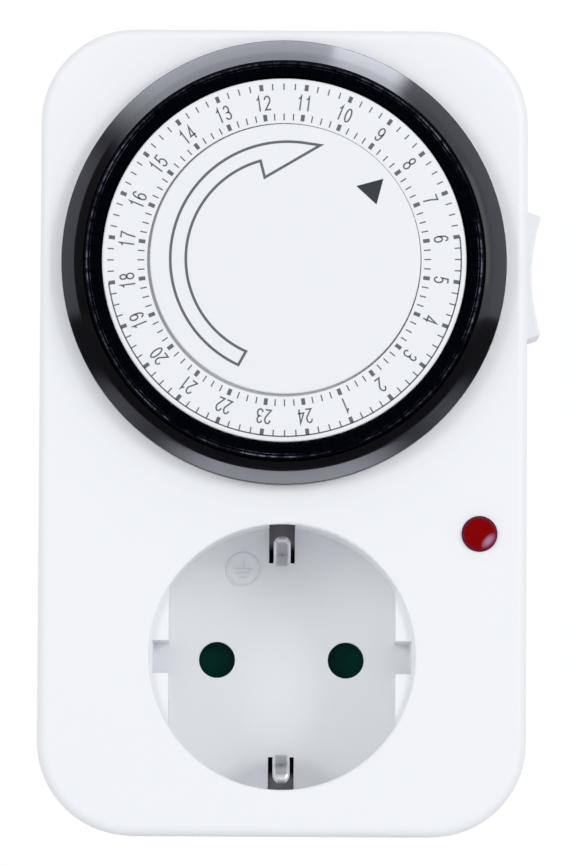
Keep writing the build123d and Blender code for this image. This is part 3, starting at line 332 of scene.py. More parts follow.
def outward(made, merge=0.0):
    """Merges points closer than a distance and turns every face of a closed piece outwards."""

    def change(work):
        if merge:
            bmesh.ops.remove_doubles(work, verts=work.verts, dist=merge)
        bmesh.ops.recalc_face_normals(work, faces=work.faces)

    return edited(made, change)


def smooth(made, sharp_deg):
    """Shades a piece smooth except at edges that bend by more than an angle."""
    made.data.shade_smooth()
    made.data.set_sharp_from_angle(angle=math.radians(sharp_deg))
    return made


def turned_piece(name, profile, x, z, merge=0.0, steps=None):
    """A smooth round piece from its profile, with the points closer than a distance merged."""
    steps = steps or bpy.context.scene.timer_studio.steps
    return smooth(outward(mesh_object(name, *revolved(profile, x, z, steps)), merge), 40)


def with_settings(thing, **settings):
    """Sets several properties of a modifier, node, light or camera."""
    for key, value in settings.items():
        setattr(thing, key, value)
    return thing


def modified(made, name, kind, **settings):
    with_settings(made.modifiers.new(name, kind), **settings)
    return made


def bevelled(made, width, segments, angle_deg):
    return modified(made, "Edges", "BEVEL", width=width, segments=segments, limit_method="ANGLE",
                    angle_limit=math.radians(angle_deg), harden_normals=True)


def dress(made, finish_key, body, slot, *nodes):
    """Gives a piece its finish and the body it moves with, and hides the frame nodes it stands for.
    The slot is not used.
    """
    made.data.materials.append(material_of(finish_key))
    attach(made, body)
    if nodes:
        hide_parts(*nodes)
    return made


# Materials

def feed(tree, socket, value):
    """Links another socket to a socket, or sets it to a number, a vector or a colour."""
    if isinstance(value, bpy.types.NodeSocket):
        tree.links.new(value, socket)
    else:
        socket.default_value = (*value, 1.0) if socket.type == "RGBA" else value


def new_node(tree, kind, inputs=None, **settings):
    """A shader node of a kind, with its settings made first and its inputs fed after."""
    made = with_settings(tree.nodes.new("ShaderNode" + kind), **settings)
    for key, value in (inputs or {}).items():
        feed(tree, made.inputs[key], value)
    return made


def calculated(tree, operation, *values):
    """The result of a Math node, whose values are sockets or numbers."""
    return new_node(tree, "Math", dict(enumerate(values)), operation=operation).outputs[0]


def vector_length(tree, vector):
    return new_node(tree, "VectorMath", {0: vector}, operation="LENGTH").outputs["Value"]


def object_point(tree, scale=(1.0, 1.0, 1.0), location=(0.0, 0.0, 0.0)):
    """The point of the surface in the part's own frame, moved and stretched by a Mapping node."""
    where = new_node(tree, "TexCoord").outputs["Object"]
    inputs = {"Vector": where, "Location": location, "Scale": scale}
    return new_node(tree, "Mapping", inputs).outputs["Vector"]


def from_axis(tree, x, z):
    """How far the point is from the line along Y through (x, z)."""
    return vector_length(tree, object_point(tree, (1.0, 0.0, 1.0), (-x, 0.0, -z)))


def from_middle(tree, axis):
    """How far the point is from the origin along one axis, to either side."""
    axes = new_node(tree, "SeparateXYZ", {"Vector": object_point(tree)})
    return calculated(tree, "ABSOLUTE", axes.outputs[axis])


def noise(tree, vector, scale, detail=2.0, roughness=0.5):
    inputs = {"Vector": vector, "Scale": scale, "Detail": detail, "Roughness": roughness}
    return new_node(tree, "TexNoise", inputs).outputs["Fac"]


def between(tree, value, start, end, low=0.0, high=1.0, **settings):
    """A value carried from the range between start and end to another one, and held inside it."""
    inputs = {"Value": value, "From Min": start, "From Max": end, "To Min": low, "To Max": high}
    return new_node(tree, "MapRange", inputs, **settings).outputs["Result"]


def blended(tree, value, first, second):
    """A colour between a first and a second one."""
    inputs = {"Factor": value, "A": first, "B": second}
    return new_node(tree, "Mix", inputs, data_type="RGBA").outputs["Result"]


def bump(tree, height, distance):
    return new_node(tree, "Bump", {"Height": height, "Distance": distance}).outputs["Normal"]


def with_shader(material, inputs):
    """Feeds the inputs of a material's shader."""
    tree = material.node_tree
    for name, value in inputs.items():
        feed(tree, tree.nodes["Principled BSDF"].inputs[name], value)
    return material


def finish(name, base, roughness, *, swing=0.05, metallic=0.0, specular=0.5, grain=0.25, height=2e-6,
           stretch=(1.0, 1.0, 1.0), mottle=0.03, mottle_size=6):
    """A moulded or rolled finish. grain is the size of its relief in millimetres and height its depth in
    metres. stretch draws it out along an axis. swing is how much the gloss changes, mottle the colour."""
    material = bpy.data.materials.new(name)
    material.use_nodes = True
    tree = material.node_tree
    point = object_point(tree, stretch)
    slow = noise(tree, point, 1.0 / (mottle_size * MM), 3.0)
    darker = tuple(c * (1.0 - mottle) for c in base)
    return with_shader(material, {
        "Metallic": metallic,
        "Specular IOR Level": specular,
        "Base Color": blended(tree, between(tree, slow, 0.1, 0.9), base, darker),
        "Roughness": between(tree, slow, 0.3, 0.7, roughness - swing, roughness + swing),
        "Normal": bump(tree, noise(tree, point, 1.0 / (grain * MM), 2.0, 0.6), height),
    })


def lens_finish(name, base):
    """Red clear plastic with a painted sheen on its rim, darker and bluer, and a painted highlight as a pale
    lilac oval at the lower right.
    """
    material = finish(name, base, 0.12, swing=0.02, specular=0.03, grain=0.6, height=1e-6)
    tree = material.node_tree
    # Painted sheen: the rim is painted darker and bluer, as where it mirrors the surround
    rim = between(tree, from_axis(tree, LENS_MIDDLE.x, LENS_MIDDLE.z), 2.0 * MM, 2.4 * MM)
    red = blended(tree, rim, base, (base[0] * 0.75, base[1] + 0.004, base[2] + 0.03))

    # Painted highlight: a pale lilac oval on the lower right of the dome
    highlight_x, highlight_z = LENS_MIDDLE.x + 1.28 * MM, LENS_MIDDLE.z - 1.02 * MM
    long, short, slant = 1.35 * MM, 0.66 * MM, math.radians(48.0)
    turned = new_node(tree, "Mapping", {
        "Vector": new_node(tree, "TexCoord").outputs["Object"],
        "Location": (highlight_x, 0.0, highlight_z),
        "Rotation": (0.0, -slant, 0.0),
        "Scale": (long, 1000.0, short),
    }, vector_type="TEXTURE")
    lit = between(tree, vector_length(tree, turned.outputs["Vector"]), 0.35, 1.1, 0.75, 0.0)
    return with_shader(material, {"Base Color": blended(tree, lit, red, linear(176, 136, 168))})


def tappet_finish(name, base, highlight_colour, highlight_rings):
    """Black plastic with painted highlights: rings, each a (radius, width) about the dial's axis, painted
    paler where the edges of a tappet's face catch the light, in patches, and within these in flecks."""
    material = finish(name, base, 0.2, swing=0.04, specular=0.012, grain=0.5, mottle=0.1, mottle_size=2)
    tree = material.node_tree
    distance = from_axis(tree, DIAL_X, DIAL_Z)
    # Painted highlights: pale rings where a tappet's groove edge and outer edge catch the light
    painted_highlight = 0.0
    for radius, width in highlight_rings:
        painted_highlight = calculated(tree, "ADD", painted_highlight, calculated(tree, "COMPARE", distance, radius, width / 2))
    patches = between(tree, noise(tree, object_point(tree), 70.0, 4.0, 0.7), 0.42, 0.64)
    flecks = between(tree, noise(tree, object_point(tree), 900.0, 3.0, 0.6), 0.44, 0.6, 0.15)
    for share in (patches, flecks):
        painted_highlight = calculated(tree, "MULTIPLY", painted_highlight, share)
    return with_shader(material, {"Base Color": blended(tree, painted_highlight, base, highlight_colour)})


def tarnished_finish(name, base, dark, shade_fade_from, shade_fade_to):
    """Rolled metal with painted shade: dark near the middle of the part, and clearing to its own colour with
    the height above or below it.
    """
    material = finish(name, base, 0.42, metallic=1.0, grain=0.2, stretch=(1.0, 0.15, 0.15), mottle=0.15,
                      mottle_size=2)
    tree = material.node_tree
    # Painted shade: dark near the middle in Z, where the bar lies deep in the slot, clearing above and below
    unshaded_share = between(tree, from_middle(tree, "Z"), shade_fade_from, shade_fade_to)
    return with_shader(material, {"Base Color": blended(tree, unshaded_share, dark, base)})


def rubbed_finish(name, base, painted_highlight):
    """Plated spring metal with painted highlights: paler along the sides of the strip and at its tips."""
    material = finish(name, base, 0.22, swing=0.06, metallic=0.75, grain=0.2, height=1.5e-6, mottle=0.06,
                      mottle_size=2)
    tree = material.node_tree
    # Painted highlights: paler along the strip's sides and at its tips, where the bends catch the light
    sides = between(tree, from_middle(tree, "X"), 0.7 * MM, 1.05 * MM)
    tips = between(tree, from_middle(tree, "Z"), 16.8 * MM, 17.6 * MM)
    highlight_mask = calculated(tree, "MAXIMUM", sides, tips)
    return with_shader(material, {"Base Color": blended(tree, highlight_mask, base, painted_highlight)})


def winding_finish(name, base):
    """Varnished copper wire: fine ridges around the coil, one for each turn."""
    material = finish(name, base, 0.3, metallic=1.0, height=1e-6)
    tree = material.node_tree
    inputs = {"Vector": object_point(tree), "Scale": 1400.0, "Distortion": 0.6}
    turns = new_node(tree, "TexWave", inputs, bands_direction="Y")
    return with_shader(material, {"Normal": bump(tree, turns.outputs["Fac"], 4e-5)})


def glass_finish(name, base):
    return with_shader(finish(name, base, 0.05, swing=0.02, height=5e-7), {"Transmission Weight": 0.85})


def floor_finish(name, base):
    """A matt pale floor that takes the object's shadow, and is plain white to the camera further out."""
    material = finish(name, base, 1.0, swing=0.0, specular=0.0, grain=4, height=1e-5, mottle=0.01,
                      mottle_size=300)
    tree = material.node_tree
    far = between(tree, vector_length(tree, object_point(tree, (1.0, 1.0, 0.0))), 0.12, 0.7)
    seen = new_node(tree, "LightPath").outputs["Is Camera Ray"]
    mixed = new_node(tree, "MixShader", {
        "Fac": calculated(tree, "MULTIPLY", far, seen),
        1: tree.nodes["Principled BSDF"].outputs["BSDF"],
        2: new_node(tree, "Emission").outputs["Emission"],
    })
    tree.links.new(mixed.outputs["Shader"], tree.nodes["Material Output"].inputs["Surface"])
    return material


def make_finishes(colours):
    """Every finish of the timer, by name."""
    return {
        "housing": finish("White housing", colours.housing, 0.38, swing=0.03, specular=0.2, grain=0.3,
                          height=1.5e-6, mottle=0.008, mottle_size=18),
        "dial": finish("White dial", colours.dial, 0.34, swing=0.02, specular=0.2, grain=0.3, height=1e-6,
                       mottle=0.004, mottle_size=15),
        "black": finish("Black gloss", colours.black, 0.12, swing=0.03, specular=0.07, grain=0.8,
                        height=1.2e-6, mottle=0.1),
        # The tappets' pale rings are painted highlights at the outer groove's edge and near the outer edge
        "tappet": tappet_finish("Black tappets", colours.tappet, linear(116, 121, 140),
                                ((28.18 * MM, 0.06 * MM), (28.6 * MM, 0.2 * MM))),
        "printing": finish("Dial printing", colours.printing, 0.5, specular=0.1, grain=0.12, mottle=0.12,
                           mottle_size=1),
        "mark": finish("Printed mark", colours.mark, 0.5, specular=0.05, grain=0.12, mottle=0.08,
                       mottle_size=1),
        "lamp": lens_finish("Red lens", colours.lamp),
        "shutter": finish("Green shutter", colours.shutter, 0.3, specular=0.03, mottle=0.08),
        "nickel": finish("Nickel plating", colours.nickel, 0.32, swing=0.08, metallic=1.0, grain=0.2,
                         height=1.5e-6, stretch=(1.0, 0.15, 0.15), mottle=0.08, mottle_size=2),
        # The clips' pale sides and tips are painted highlights
        "spring": rubbed_finish("Plating with painted highlights", linear(158, 158, 164), linear(228, 228, 236)),
        # The earth bar's dark middle is painted shade
        "shaded_nickel": tarnished_finish("Plating with painted shade", linear(150, 147, 152), linear(24, 24, 30), 16.4 * MM,
                                        17.6 * MM),
        "dark": finish("Dark plastic", linear(22, 22, 26), 0.45, specular=0.25, height=4e-6, mottle=0.1),
        "gear": finish("Gear plastic", linear(232, 226, 206), 0.4, mottle=0.04),
        "grey": finish("Grey plastic", linear(140, 142, 146), 0.45, height=4e-6, mottle=0.05),
        "steel": finish("Zinc steel", linear(176, 178, 180), 0.32, metallic=1.0, mottle=0.1, grain=0.15,
                        height=3e-6),
        "bronze": finish("Spring bronze", linear(196, 160, 100), 0.28, metallic=1.0, mottle=0.1,
                         stretch=(1.0, 1.0, 0.1)),
        "copper": winding_finish("Copper winding", linear(184, 104, 60)),
        "glass": glass_finish("Lamp glass", linear(238, 226, 214)),
        "wire": finish("Wire cover", linear(40, 70, 150), 0.5, height=3e-6, mottle=0.08),
    }


NODE_FINISHES = {
    "housing": ["front_housing", "rear_housing"],
    "dark": ["dial_drum", "socket_insert", "plug_insert", "motor_reducer"],
    "gear": ["dial_gear", "final_gear", "middle_gear", "motor_pinion"],
    "grey": ["movement_plate", "switch_lever"],
    "steel": ["housing_screws", "plate_screws", "gear_arbors", "motor_can", "motor_cover", "motor_rotor",
              "lever_spring", "shutter_spring"],
    "bronze": ["moving_contact", "fixed_contact", "contact_sleeves"],
    "nickel": ["plug_pins", "plug_earth_contacts"],
    "shaded_nickel": ["earth_bar"],
    "copper": ["motor_coil"],
    "shutter": ["safety_shutter"],
    "glass": ["neon_lamp"],
    "wire": ["wires"],
}


FINISHES = {}
MIRRORS = bpy.data.collections.new("Pieces that mirror the panels")


def material_of(key):
    """A finish by its key. All are made on first use, from the colours in the panel."""
    if not FINISHES:
        FINISHES.update(make_finishes(bpy.context.scene.timer_colours))
    return FINISHES[key]


def even_shading(node_object, sharp_deg=28.0):
    """Shades a frame node's curved faces smoothly and keeps its edges crisp, without moving any point."""
    mesh = node_object.data
    mesh.polygons.foreach_set("use_smooth", np.ones(len(mesh.polygons), bool))
    modified(node_object, "Weld", "WELD", merge_threshold=MERGE)
    modified(node_object, "Edges", "EDGE_SPLIT", split_angle=math.radians(sharp_deg))
    modified(node_object, "Normals", "WEIGHTED_NORMAL", keep_sharp=True)


class TIMER_OT_frame_finishes(bpy.types.Operator):
    """Gives every moulded, turned and pressed piece of the frame its finish"""
    bl_idname = "timer.frame_finishes"
    bl_label = "Finishes of the frame"

    def execute(self, context):
        for key, names in NODE_FINISHES.items():
            for name in names:
                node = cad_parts[name]
                node.data.materials.clear()
                node.data.materials.append(material_of(key))
                even_shading(node)
        return {"FINISHED"}


class TIMER_OT_collar(bpy.types.Operator):
    """Builds the glossy collar around the dial"""
    bl_idname = "timer.collar"
    bl_label = "Collar"

    def execute(self, context):
        c = context.scene.timer_collar
        taper, brow_round, dome_pull = 0.04 * MM, 0.15 * MM, 0.22
        lip_depth, bore_depth = 0.25 * MM, 0.7 * MM
        brow = np.array([c.foot_radius - taper, FRONT_Y - c.side_height])
        shoulder = np.array([c.shoulder_radius, FRONT_Y - c.shoulder_height])
        crest = np.array([c.crest_radius, FRONT_Y - c.crest_height])
        wall = rounded_line([[c.foot_radius, FRONT_Y], brow, shoulder], [0, brow_round, 0], 5)
        dome = bent(shoulder, shoulder + (shoulder - brow) * dome_pull, crest, 14)
        lip = bent(crest, [c.lip_radius, crest[1]], [c.lip_radius, crest[1] + lip_depth], 6)
        under = np.array([[c.inner_radius, crest[1] + bore_depth]])
        back = FRONT_Y + c.spigot_depth
        rest = [[c.inner_radius, back], [c.spigot_radius, back], [c.spigot_radius, FRONT_Y]]
        profile = np.concatenate([wall[:-1], dome[:-1], lip, under, rest])
        made = turned_piece("collar", profile, DIAL_X, DIAL_Z)
        dress(made, "black", "housing", "black_gloss", "guard_ring")
        MIRRORS.objects.link(made)
        return {"FINISHED"}


def digit_strokes():
    """The ten digits as centre lines in a box one high and 0.46 wide, each a list of (points, closed)."""
    one, base, four, five_top, seven = [np.array(p, float) for p in (
        [[0.07, 0.77], [0.17, 0.82], [0.23, 0.95], [0.23, 0.0]],
        [[0.06, 0.05], [0.43, 0.05]],
        [[0.44, 0.28], [0.04, 0.28], [0.32, 0.93], [0.32, 0.0]],
        [[0.40, 0.95], [0.12, 0.95], [0.08, 0.52]],
        [[0.04, 0.95], [0.43, 0.95], [0.28, 0.52], [0.19, 0.0]],
    )]
    two = np.concatenate([oval(0.235, 0.69, 0.175, 0.26, 172, -28), base])
    three_low = oval(0.225, 0.275, 0.18, 0.235, 86, -165)
    three = np.concatenate([oval(0.225, 0.73, 0.155, 0.22, 165, -78), three_low])
    five = np.concatenate([five_top, oval(0.225, 0.33, 0.185, 0.28, 132, -160)])
    six_bowl = oval(0.235, 0.315, 0.175, 0.265, 0, 352, 24)
    six_back = np.concatenate([oval(0.245, 0.55, 0.185, 0.40, 35, 180), [[0.06, 0.34]]])
    turned = np.array([DIGIT_WIDTH, 1.0])
    return {
        "0": [(oval(0.23, 0.5, 0.175, 0.45, 0, 350, 26), True)],
        "1": [(one, False)],
        "2": [(two, False)],
        "3": [(three, False)],
        "4": [(four, False)],
        "5": [(five, False)],
        "6": [(six_bowl, True), (six_back, False)],
        "7": [(seven, False)],
        "8": [(oval(0.23, 0.735, 0.15, 0.215, 0, 350, 22), True),
              (oval(0.23, 0.275, 0.18, 0.235, 0, 350, 22), True)],
        "9": [(turned - six_bowl, True), (turned - six_back, False)],
    }


def numeral_parts(text, clockwise_deg, dial, strokes):
    """One numeral as flat ribbons: its digits side by side at the numeral radius, their tops outwards."""
    height, advance = dial.numeral_height, dial.numeral_advance
    width = (len(text) - 1) * advance + DIGIT_WIDTH * height
    parts = []
    for place, digit in enumerate(text):
        for points, closed in strokes[digit]:
            across = points[:, 0] * height + place * advance - width / 2
            up = (points[:, 1] - 0.5) * height + dial.numeral_radius
            parts.append(ribbon(around(up, clockwise_deg, across=across), dial.numeral_stroke, closed))
    return parts


def tick_parts(inner, outer, width, angles):
    """Ticks as quads: each runs from an inner to an outer radius at its angle, and is as wide as asked."""
    across = np.array([-1, -1, 1, 1]) * width / 2
    points = around(np.array([inner, outer, outer, inner]), angles[:, None], across=across).reshape(-1, 2)
    return points, np.arange(len(points)).reshape(-1, 4)[:, ::-1]


def hour_angle(hour):
    """The hours run anticlockwise, fifteen degrees each, with the top between eleven and twelve."""
    return (11.5 - hour) * 360.0 / HOURS + math.degrees(bpy.context.scene.timer_dial.print_turn)


def flat_object(name, parts, face_y, thickness):
    """Flat parts set just in front of a face and given a thickness back into it."""
    flat = [(on_face(points, face_y - thickness), faces) for points, faces in parts]

    def change(work):
        bmesh.ops.reverse_faces(work, faces=[face for face in work.faces if face.normal.y > 0])

    made = edited(mesh_object(name, *join_parts(flat)), change)
    return modified(made, "Thickness", "SOLIDIFY", thickness=thickness * 1.5, offset=-1.0)


def printed(name, parts, face_y, finish_key, body):
    """Printing on a white face of the dial, which moves with a body."""
    made = flat_object(name, parts, face_y, bpy.context.scene.timer_dial.print_height)
    return dress(made, finish_key, body, "dial_white")


class TIMER_OT_hour_ring(bpy.types.Operator):
    """Builds the white hour ring with its printed ticks, numbers and night arc"""
    bl_idname = "timer.hour_ring"
    bl_label = "Hour ring"

    def execute(self, context):
        d = context.scene.timer_dial
        seat, ledge = DIAL_FACE_Y + 1.8 * MM, DIAL_FACE_Y + 1.0 * MM
        outer, inner, bore = RING_HIGH.x - DIAL_X, 19.85 * MM, 17.0 * MM
        outer_edge, inner_edge = 0.4 * MM, 0.1 * MM
        corners = [
            [bore, seat], [outer, seat], [outer, DIAL_FACE_Y], [inner, DIAL_FACE_Y],
            [inner, ledge], [bore, ledge], [bore, seat],
        ]
        profile = rounded_line(corners, [0, 0, outer_edge, inner_edge, 0, 0, 0], 7)[:-1]
        ring = turned_piece("hour_ring_body", profile, DIAL_X, DIAL_Z)
        dress(ring, "dial", "dial", "dial_white", "hour_ring")

        quarters = np.arange(HOURS * TAPPETS_PER_HOUR)
        angles = hour_angle(quarters / TAPPETS_PER_HOUR)
        on_hour = quarters % TAPPETS_PER_HOUR == 0
        parts = []
        for low, high in ((d.outer_tick_inner, d.outer_tick_outer), (d.inner_tick_inner, d.inner_tick_outer)):
            parts.append(tick_parts(low, high, d.hour_tick_width, angles[on_hour]))
            parts.append(tick_parts(low, high, d.tick_width, angles[~on_hour]))
        night = np.linspace(hour_angle(6), hour_angle(-6), 121)
        parts.append(ribbon(around(d.outer_tick_outer, night), d.night_arc_width))
        strokes = digit_strokes()
        for hour in range(1, HOURS + 1):
            parts += numeral_parts(str(hour), hour_angle(hour), d, strokes)
        printed("hour_ring_printing", parts, DIAL_FACE_Y, "printing", "dial")
        return {"FINISHED"}


class TIMER_OT_centre_disc(bpy.types.Operator):
    """Builds the fixed disc with its arrow and its triangle"""
    bl_idname = "timer.centre_disc"
    bl_label = "Centre disc"

    def execute(self, context):
        d = context.scene.timer_dial
        low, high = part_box("centre_disc")
        lift, spread, edge, rear_edge = 0.15 * MM, 0.2 * MM, 0.3 * MM, 0.05 * MM
        x, z = (low.x + high.x) / 2, (low.z + high.z) / 2 + lift
        radius, boss, stem = (high.z - low.z) / 2 + spread, 5.0 * MM, 2.02 * MM
        plate_y, boss_y = low.y + 1.0 * MM, low.y + 2.5 * MM
        corners = [
            [0.0, low.y], [radius, low.y], [radius, plate_y], [boss, plate_y],
            [boss, boss_y], [stem, boss_y], [stem, high.y], [0.0, high.y],
        ]
        profile = rounded_line(corners, [0, edge, rear_edge, 0, 0, 0, 0, 0], 7)
        disc = turned_piece("centre_disc_body", profile, x, z, MERGE)
        dress(disc, "dial", "housing", "dial_white", "centre_disc")

        cx, cz = DIAL_X + 0.5 * MM, DIAL_Z + 0.14 * MM
        outer, inner, tip, barb = 17.0 * MM, 14.75 * MM, 17.15 * MM, 12.25 * MM
        turn = math.degrees(d.print_turn)
        runs = ((outer, np.linspace(-155.0, 8.0, 90)), (tip, [16.1]), (barb, [-15.7]),
                (inner, np.linspace(-15.4, -155.7, 80)))
        outline = np.concatenate([around(radius, np.add(run, turn), cx, cz) for radius, run in runs])
        arrow = [ribbon(outline, d.arrow_line, closed=True)]
        printed("centre_disc_arrow", arrow, DISC_FACE_Y, "printing", "housing")
        triangle = np.array([[14.29, 11.83], [10.37, 10.75], [13.31, 8.07]]) * MM + [DIAL_X, DIAL_Z]
        printed("centre_disc_mark", [(triangle, [[0, 1, 2]])], DISC_FACE_Y, "mark", "housing")
        return {"FINISHED"}


def tappet_parts(clockwise_deg, t):
    """One tappet. Its face is a profile of (radius, depth) with two grooves and rounded edges, carried across
    it. Its width is the radius times twice the tangent of half the pitch, less the gaps. Behind the face a
    neck and a head slide in the drum."""
    face, back = DIAL_FACE_Y, FRONT_Y + 2.2 * MM
    inner, outer, edge, depth = t.inner_radius, t.outer_radius, t.edge, t.ridge_depth
    step, first_groove, second_groove = 0.06 * MM, 0.62 * MM, 1.3 * MM
    slope, drop, flat_share = 0.25 * MM, 0.35 * MM, 0.93
    profile = [[inner, back], [inner, face + edge], [inner + edge, face]]
    for middle in (inner + first_groove, inner + second_groove):
        for steps, y in ((-2, face), (-1, face + depth), (1, face + depth), (2, face)):
            profile.append([middle + steps * step, y])
    profile += [[outer - slope, face], [outer, face + drop], [outer, back]]
    profile = np.array(profile)
    r, y = profile[:, :1], profile[:, 1:]
    half = r * math.tan(math.radians(PITCH / 2)) - t.side_gap
    flat = around(r, clockwise_deg, across=half * [-1.0, -flat_share, flat_share, 1.0])
    y = y + (y < back - MERGE) * np.array([1.0, 0.0, 0.0, 1.0]) * edge * 0.4
    points = np.stack([flat[..., 0], y, flat[..., 1]], axis=-1)
    corners = np.arange(len(profile) * 4).reshape(-1, 4)
    faces = grid_faces(*corners.shape).tolist()
    faces += [corners[:, 0].tolist(), corners[::-1, 3].tolist(), [*corners[0], *corners[-1, ::-1]]]

    neck_r, neck_half, head_r, head_half = 25.75 * MM, 0.25 * MM, 25.15 * MM, 0.5 * MM
    parts = [(points, faces)]
    for low, high, wide in ((neck_r, inner, neck_half), (head_r, neck_r, head_half)):
        corners = np.array([[low, -wide], [high, -wide], [high, wide], [low, wide]])
        outline = around(corners[:, 0], clockwise_deg, across=corners[:, 1])
        parts.append(prism(outline, FRONT_Y - 3.8 * MM, FRONT_Y + 7.2 * MM))
    return parts


class TIMER_OT_tappets(bpy.types.Operator):
    """Builds the ninety-six quarter-hour tappets, four to an hour"""
    bl_idname = "timer.tappets"
    bl_label = "Tappets"

    def execute(self, context):
        t = context.scene.timer_tappets
        for hour in range(HOURS):
            middle = (11 - hour) * 360.0 / HOURS
            parts = []
            for k in range(TAPPETS_PER_HOUR):
                parts += tappet_parts(middle + (1.5 - k) * PITCH, t)
            made = mesh_object(f"hour_{hour:02d}_tappets", *join_parts(parts))
            smooth(outward(made), 20)
            dress(made, "tappet", f"hour_{hour:02d}", "black_gloss", f"tappets_{hour:02d}")
        return {"FINISHED"}


class TIMER_OT_lamp(bpy.types.Operator):
    """Builds the red lens with its bevelled rim"""
    bl_idname = "timer.lamp"
    bl_label = "Lamp"

    def execute(self, context):
        p = context.scene.timer_lamp
        rear_y = LENS_HIGH.y
        flange, flange_y, side_y = LENS_HIGH.x - LENS_MIDDLE.x, rear_y - 1.0 * MM, FRONT_Y - 0.25 * MM
        hollow, hollow_y, crown, edge = 1.7 * MM, FRONT_Y + 0.6 * MM, 0.18 * MM, 0.12 * MM
        t = np.linspace(0, 1, 16)
        dome = np.stack([(p.radius - p.bevel) * t, FRONT_Y - p.proud + crown * t ** 2], axis=1)
        rest = [[p.radius, side_y], [p.radius, flange_y], [flange, flange_y], [flange, rear_y],
                [hollow, rear_y], [hollow, hollow_y], [0.0, hollow_y]]
        profile = rounded_line(np.concatenate([dome, rest]), [0] * 15 + [edge, edge] + [0] * 6, 5)
        made = turned_piece("lamp_lens_body", profile, LENS_MIDDLE.x, LENS_MIDDLE.z, MERGE, 96)
        dress(made, "lamp", "housing", "red_lens", "lamp_lens")
        return {"FINISHED"}


class TIMER_OT_rocker(bpy.types.Operator):
    """Builds the override rocker in the side wall"""
    bl_idname = "timer.rocker"
    bl_label = "Rocker"

    def execute(self, context):
        low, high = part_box("override_rocker")
        middle, half = (low.z + high.z) / 2, (high.z - low.z) / 2
        hollow, tip_half = 1.4 * MM, half - 0.9 * MM
        u = np.linspace(-1, 1, 25)
        finger = np.stack([high.x - hollow * (1 - u ** 2), middle - tip_half * u], axis=1)
        lower = np.array([[35.2, -9.65], [33.0, -9.2], [31.5, -2.2], [29.4, -2.2]]) * MM + [0, middle]
        upper = lower[::-1] * [1, -1] + [0, 2 * middle]
        outline = np.concatenate([finger, lower, upper])
        made = mesh_object("override_rocker_body", *prism(outline, low.y, high.y))
        smooth(bevelled(outward(made), 0.3 * MM, 3, 25), 25)
        dress(made, "housing", "rocker", "white_housing", "override_rocker")
        return {"FINISHED"}


def clip_parts(side):
    """One sprung clip: a bar along a route of (y, z) points with rounded bends. It grows thicker towards the
    tip as the square of the way, and is rounded there by a half circle. The lower one leans outwards."""
    corners = np.array([
        [-31.8, 11.6], [-31.8, 14.9], [-37.5, 14.9], [-42.6, 13.95], [-46.2, 15.4], [-46.9, 17.9],
    ]) * MM
    line = rounded_line(corners, np.array([0, 0.9, 1.2, 1.6, 1.1, 0]) * MM, 8)
    t = np.concatenate([[0.0], np.cumsum(np.linalg.norm(np.diff(line, axis=0), axis=1))])
    half_wide, half_thick, half_tip, swelling = 1.25 * MM, 0.42 * MM, 0.6 * MM, 2.4 * MM
    lean = 0.42 * MM if side < 0 else 0.0
    tip = t[-1] - np.geomspace(half_wide, 0.01 * MM, 20)
    s = np.concatenate([np.linspace(0, t[-1] - half_wide * 1.02, 44), tip])
    path = np.stack([np.interp(s, t, line[:, 0]), np.interp(s, t, line[:, 1])], axis=1)
    left = t[-1] - s
    ball = np.sqrt(np.clip(1 - (1 - np.clip(left / half_wide, 0, 1)) ** 2, 0, 1))
    grown = np.clip((swelling + half_wide - left) / swelling, 0, 1) ** 2
    thick = (half_thick + (half_tip - half_thick) * grown) * ball
    path[:, 1] = (path[:, 1] + lean * s / t[-1]) * side
    return carried_section(path, half_wide * ball, thick, 0.8)


class TIMER_OT_socket_metal(bpy.types.Operator):
    """Builds the two sprung earth clips of the socket"""
    bl_idname = "timer.socket_metal"
    bl_label = "Earth clips"

    def execute(self, context):
        made = mesh_object("socket_clips", *join_parts([clip_parts(-1), clip_parts(1)]))
        smooth(outward(made), 50)
        dress(made, "spring", "housing", "nickel", "earth_clips")
        return {"FINISHED"}


class TIMER_OT_earth_mark(bpy.types.Operator):
    """Builds the raised earth symbol on the floor of the recess"""
    bl_idname = "timer.earth_mark"
    bl_label = "Earth symbol"

    def execute(self, context):
        x, z, r, line = -5.7 * MM, 13.3 * MM, 2.4 * MM, 0.34 * MM
        parts = [ribbon(around(r, np.arange(0, 360, 7.5), x, z), line, closed=True)]
        parts.append(ribbon([[x, z + 1.5 * MM], [x, z + line / 2]], line))
        for width, drop in ((1.4, 0.0), (0.95, 0.62), (0.5, 1.24)):
            parts.append(ribbon([[x - width * MM, z - drop * MM], [x + width * MM, z - drop * MM]], line))
        made = bevelled(flat_object("recess_earth_mark", parts, RECESS_FLOOR_Y, 0.25 * MM), 0.1 * MM, 2, 30)
        dress(made, "dial", "housing", "white_housing")
        return {"FINISHED"}


def soft_light(name, place, target, size, watts, tone=(1.0, 1.0, 1.0)):
    """A rectangular soft light that faces a target."""
    light = bpy.data.objects.new(name, bpy.data.lights.new(name, "AREA"))
    with_settings(light.data, shape="RECTANGLE", size=size[0], size_y=size[1], energy=watts, color=tone)
    light.location = place
    light.rotation_euler = (Vector(target) - Vector(place)).to_track_quat("-Z", "Y").to_euler()
    bpy.context.scene.collection.objects.link(light)
    return light


def fading(light, shares):
    """Lets a soft light fade smoothly towards its edges. The four shares say how much the fade takes at the
    start and the end of its width, and at the start and the end of its height."""
    light.data.use_nodes = True
    tree = light.data.node_tree
    emission = next(node for node in tree.nodes if node.type == "EMISSION")
    across = new_node(tree, "SeparateXYZ", {0: new_node(tree, "NewGeometry").outputs["Parametric"]})
    strength = 1.0
    for index, share in enumerate(shares):
        if share:
            start = index % 2
            end = start - share if start else share
            ramp = between(tree, across.outputs[index // 2], start, end, interpolation_type="SMOOTHSTEP")
            strength = calculated(tree, "MULTIPLY", strength, ramp)
    feed(tree, emission.inputs["Strength"], strength)


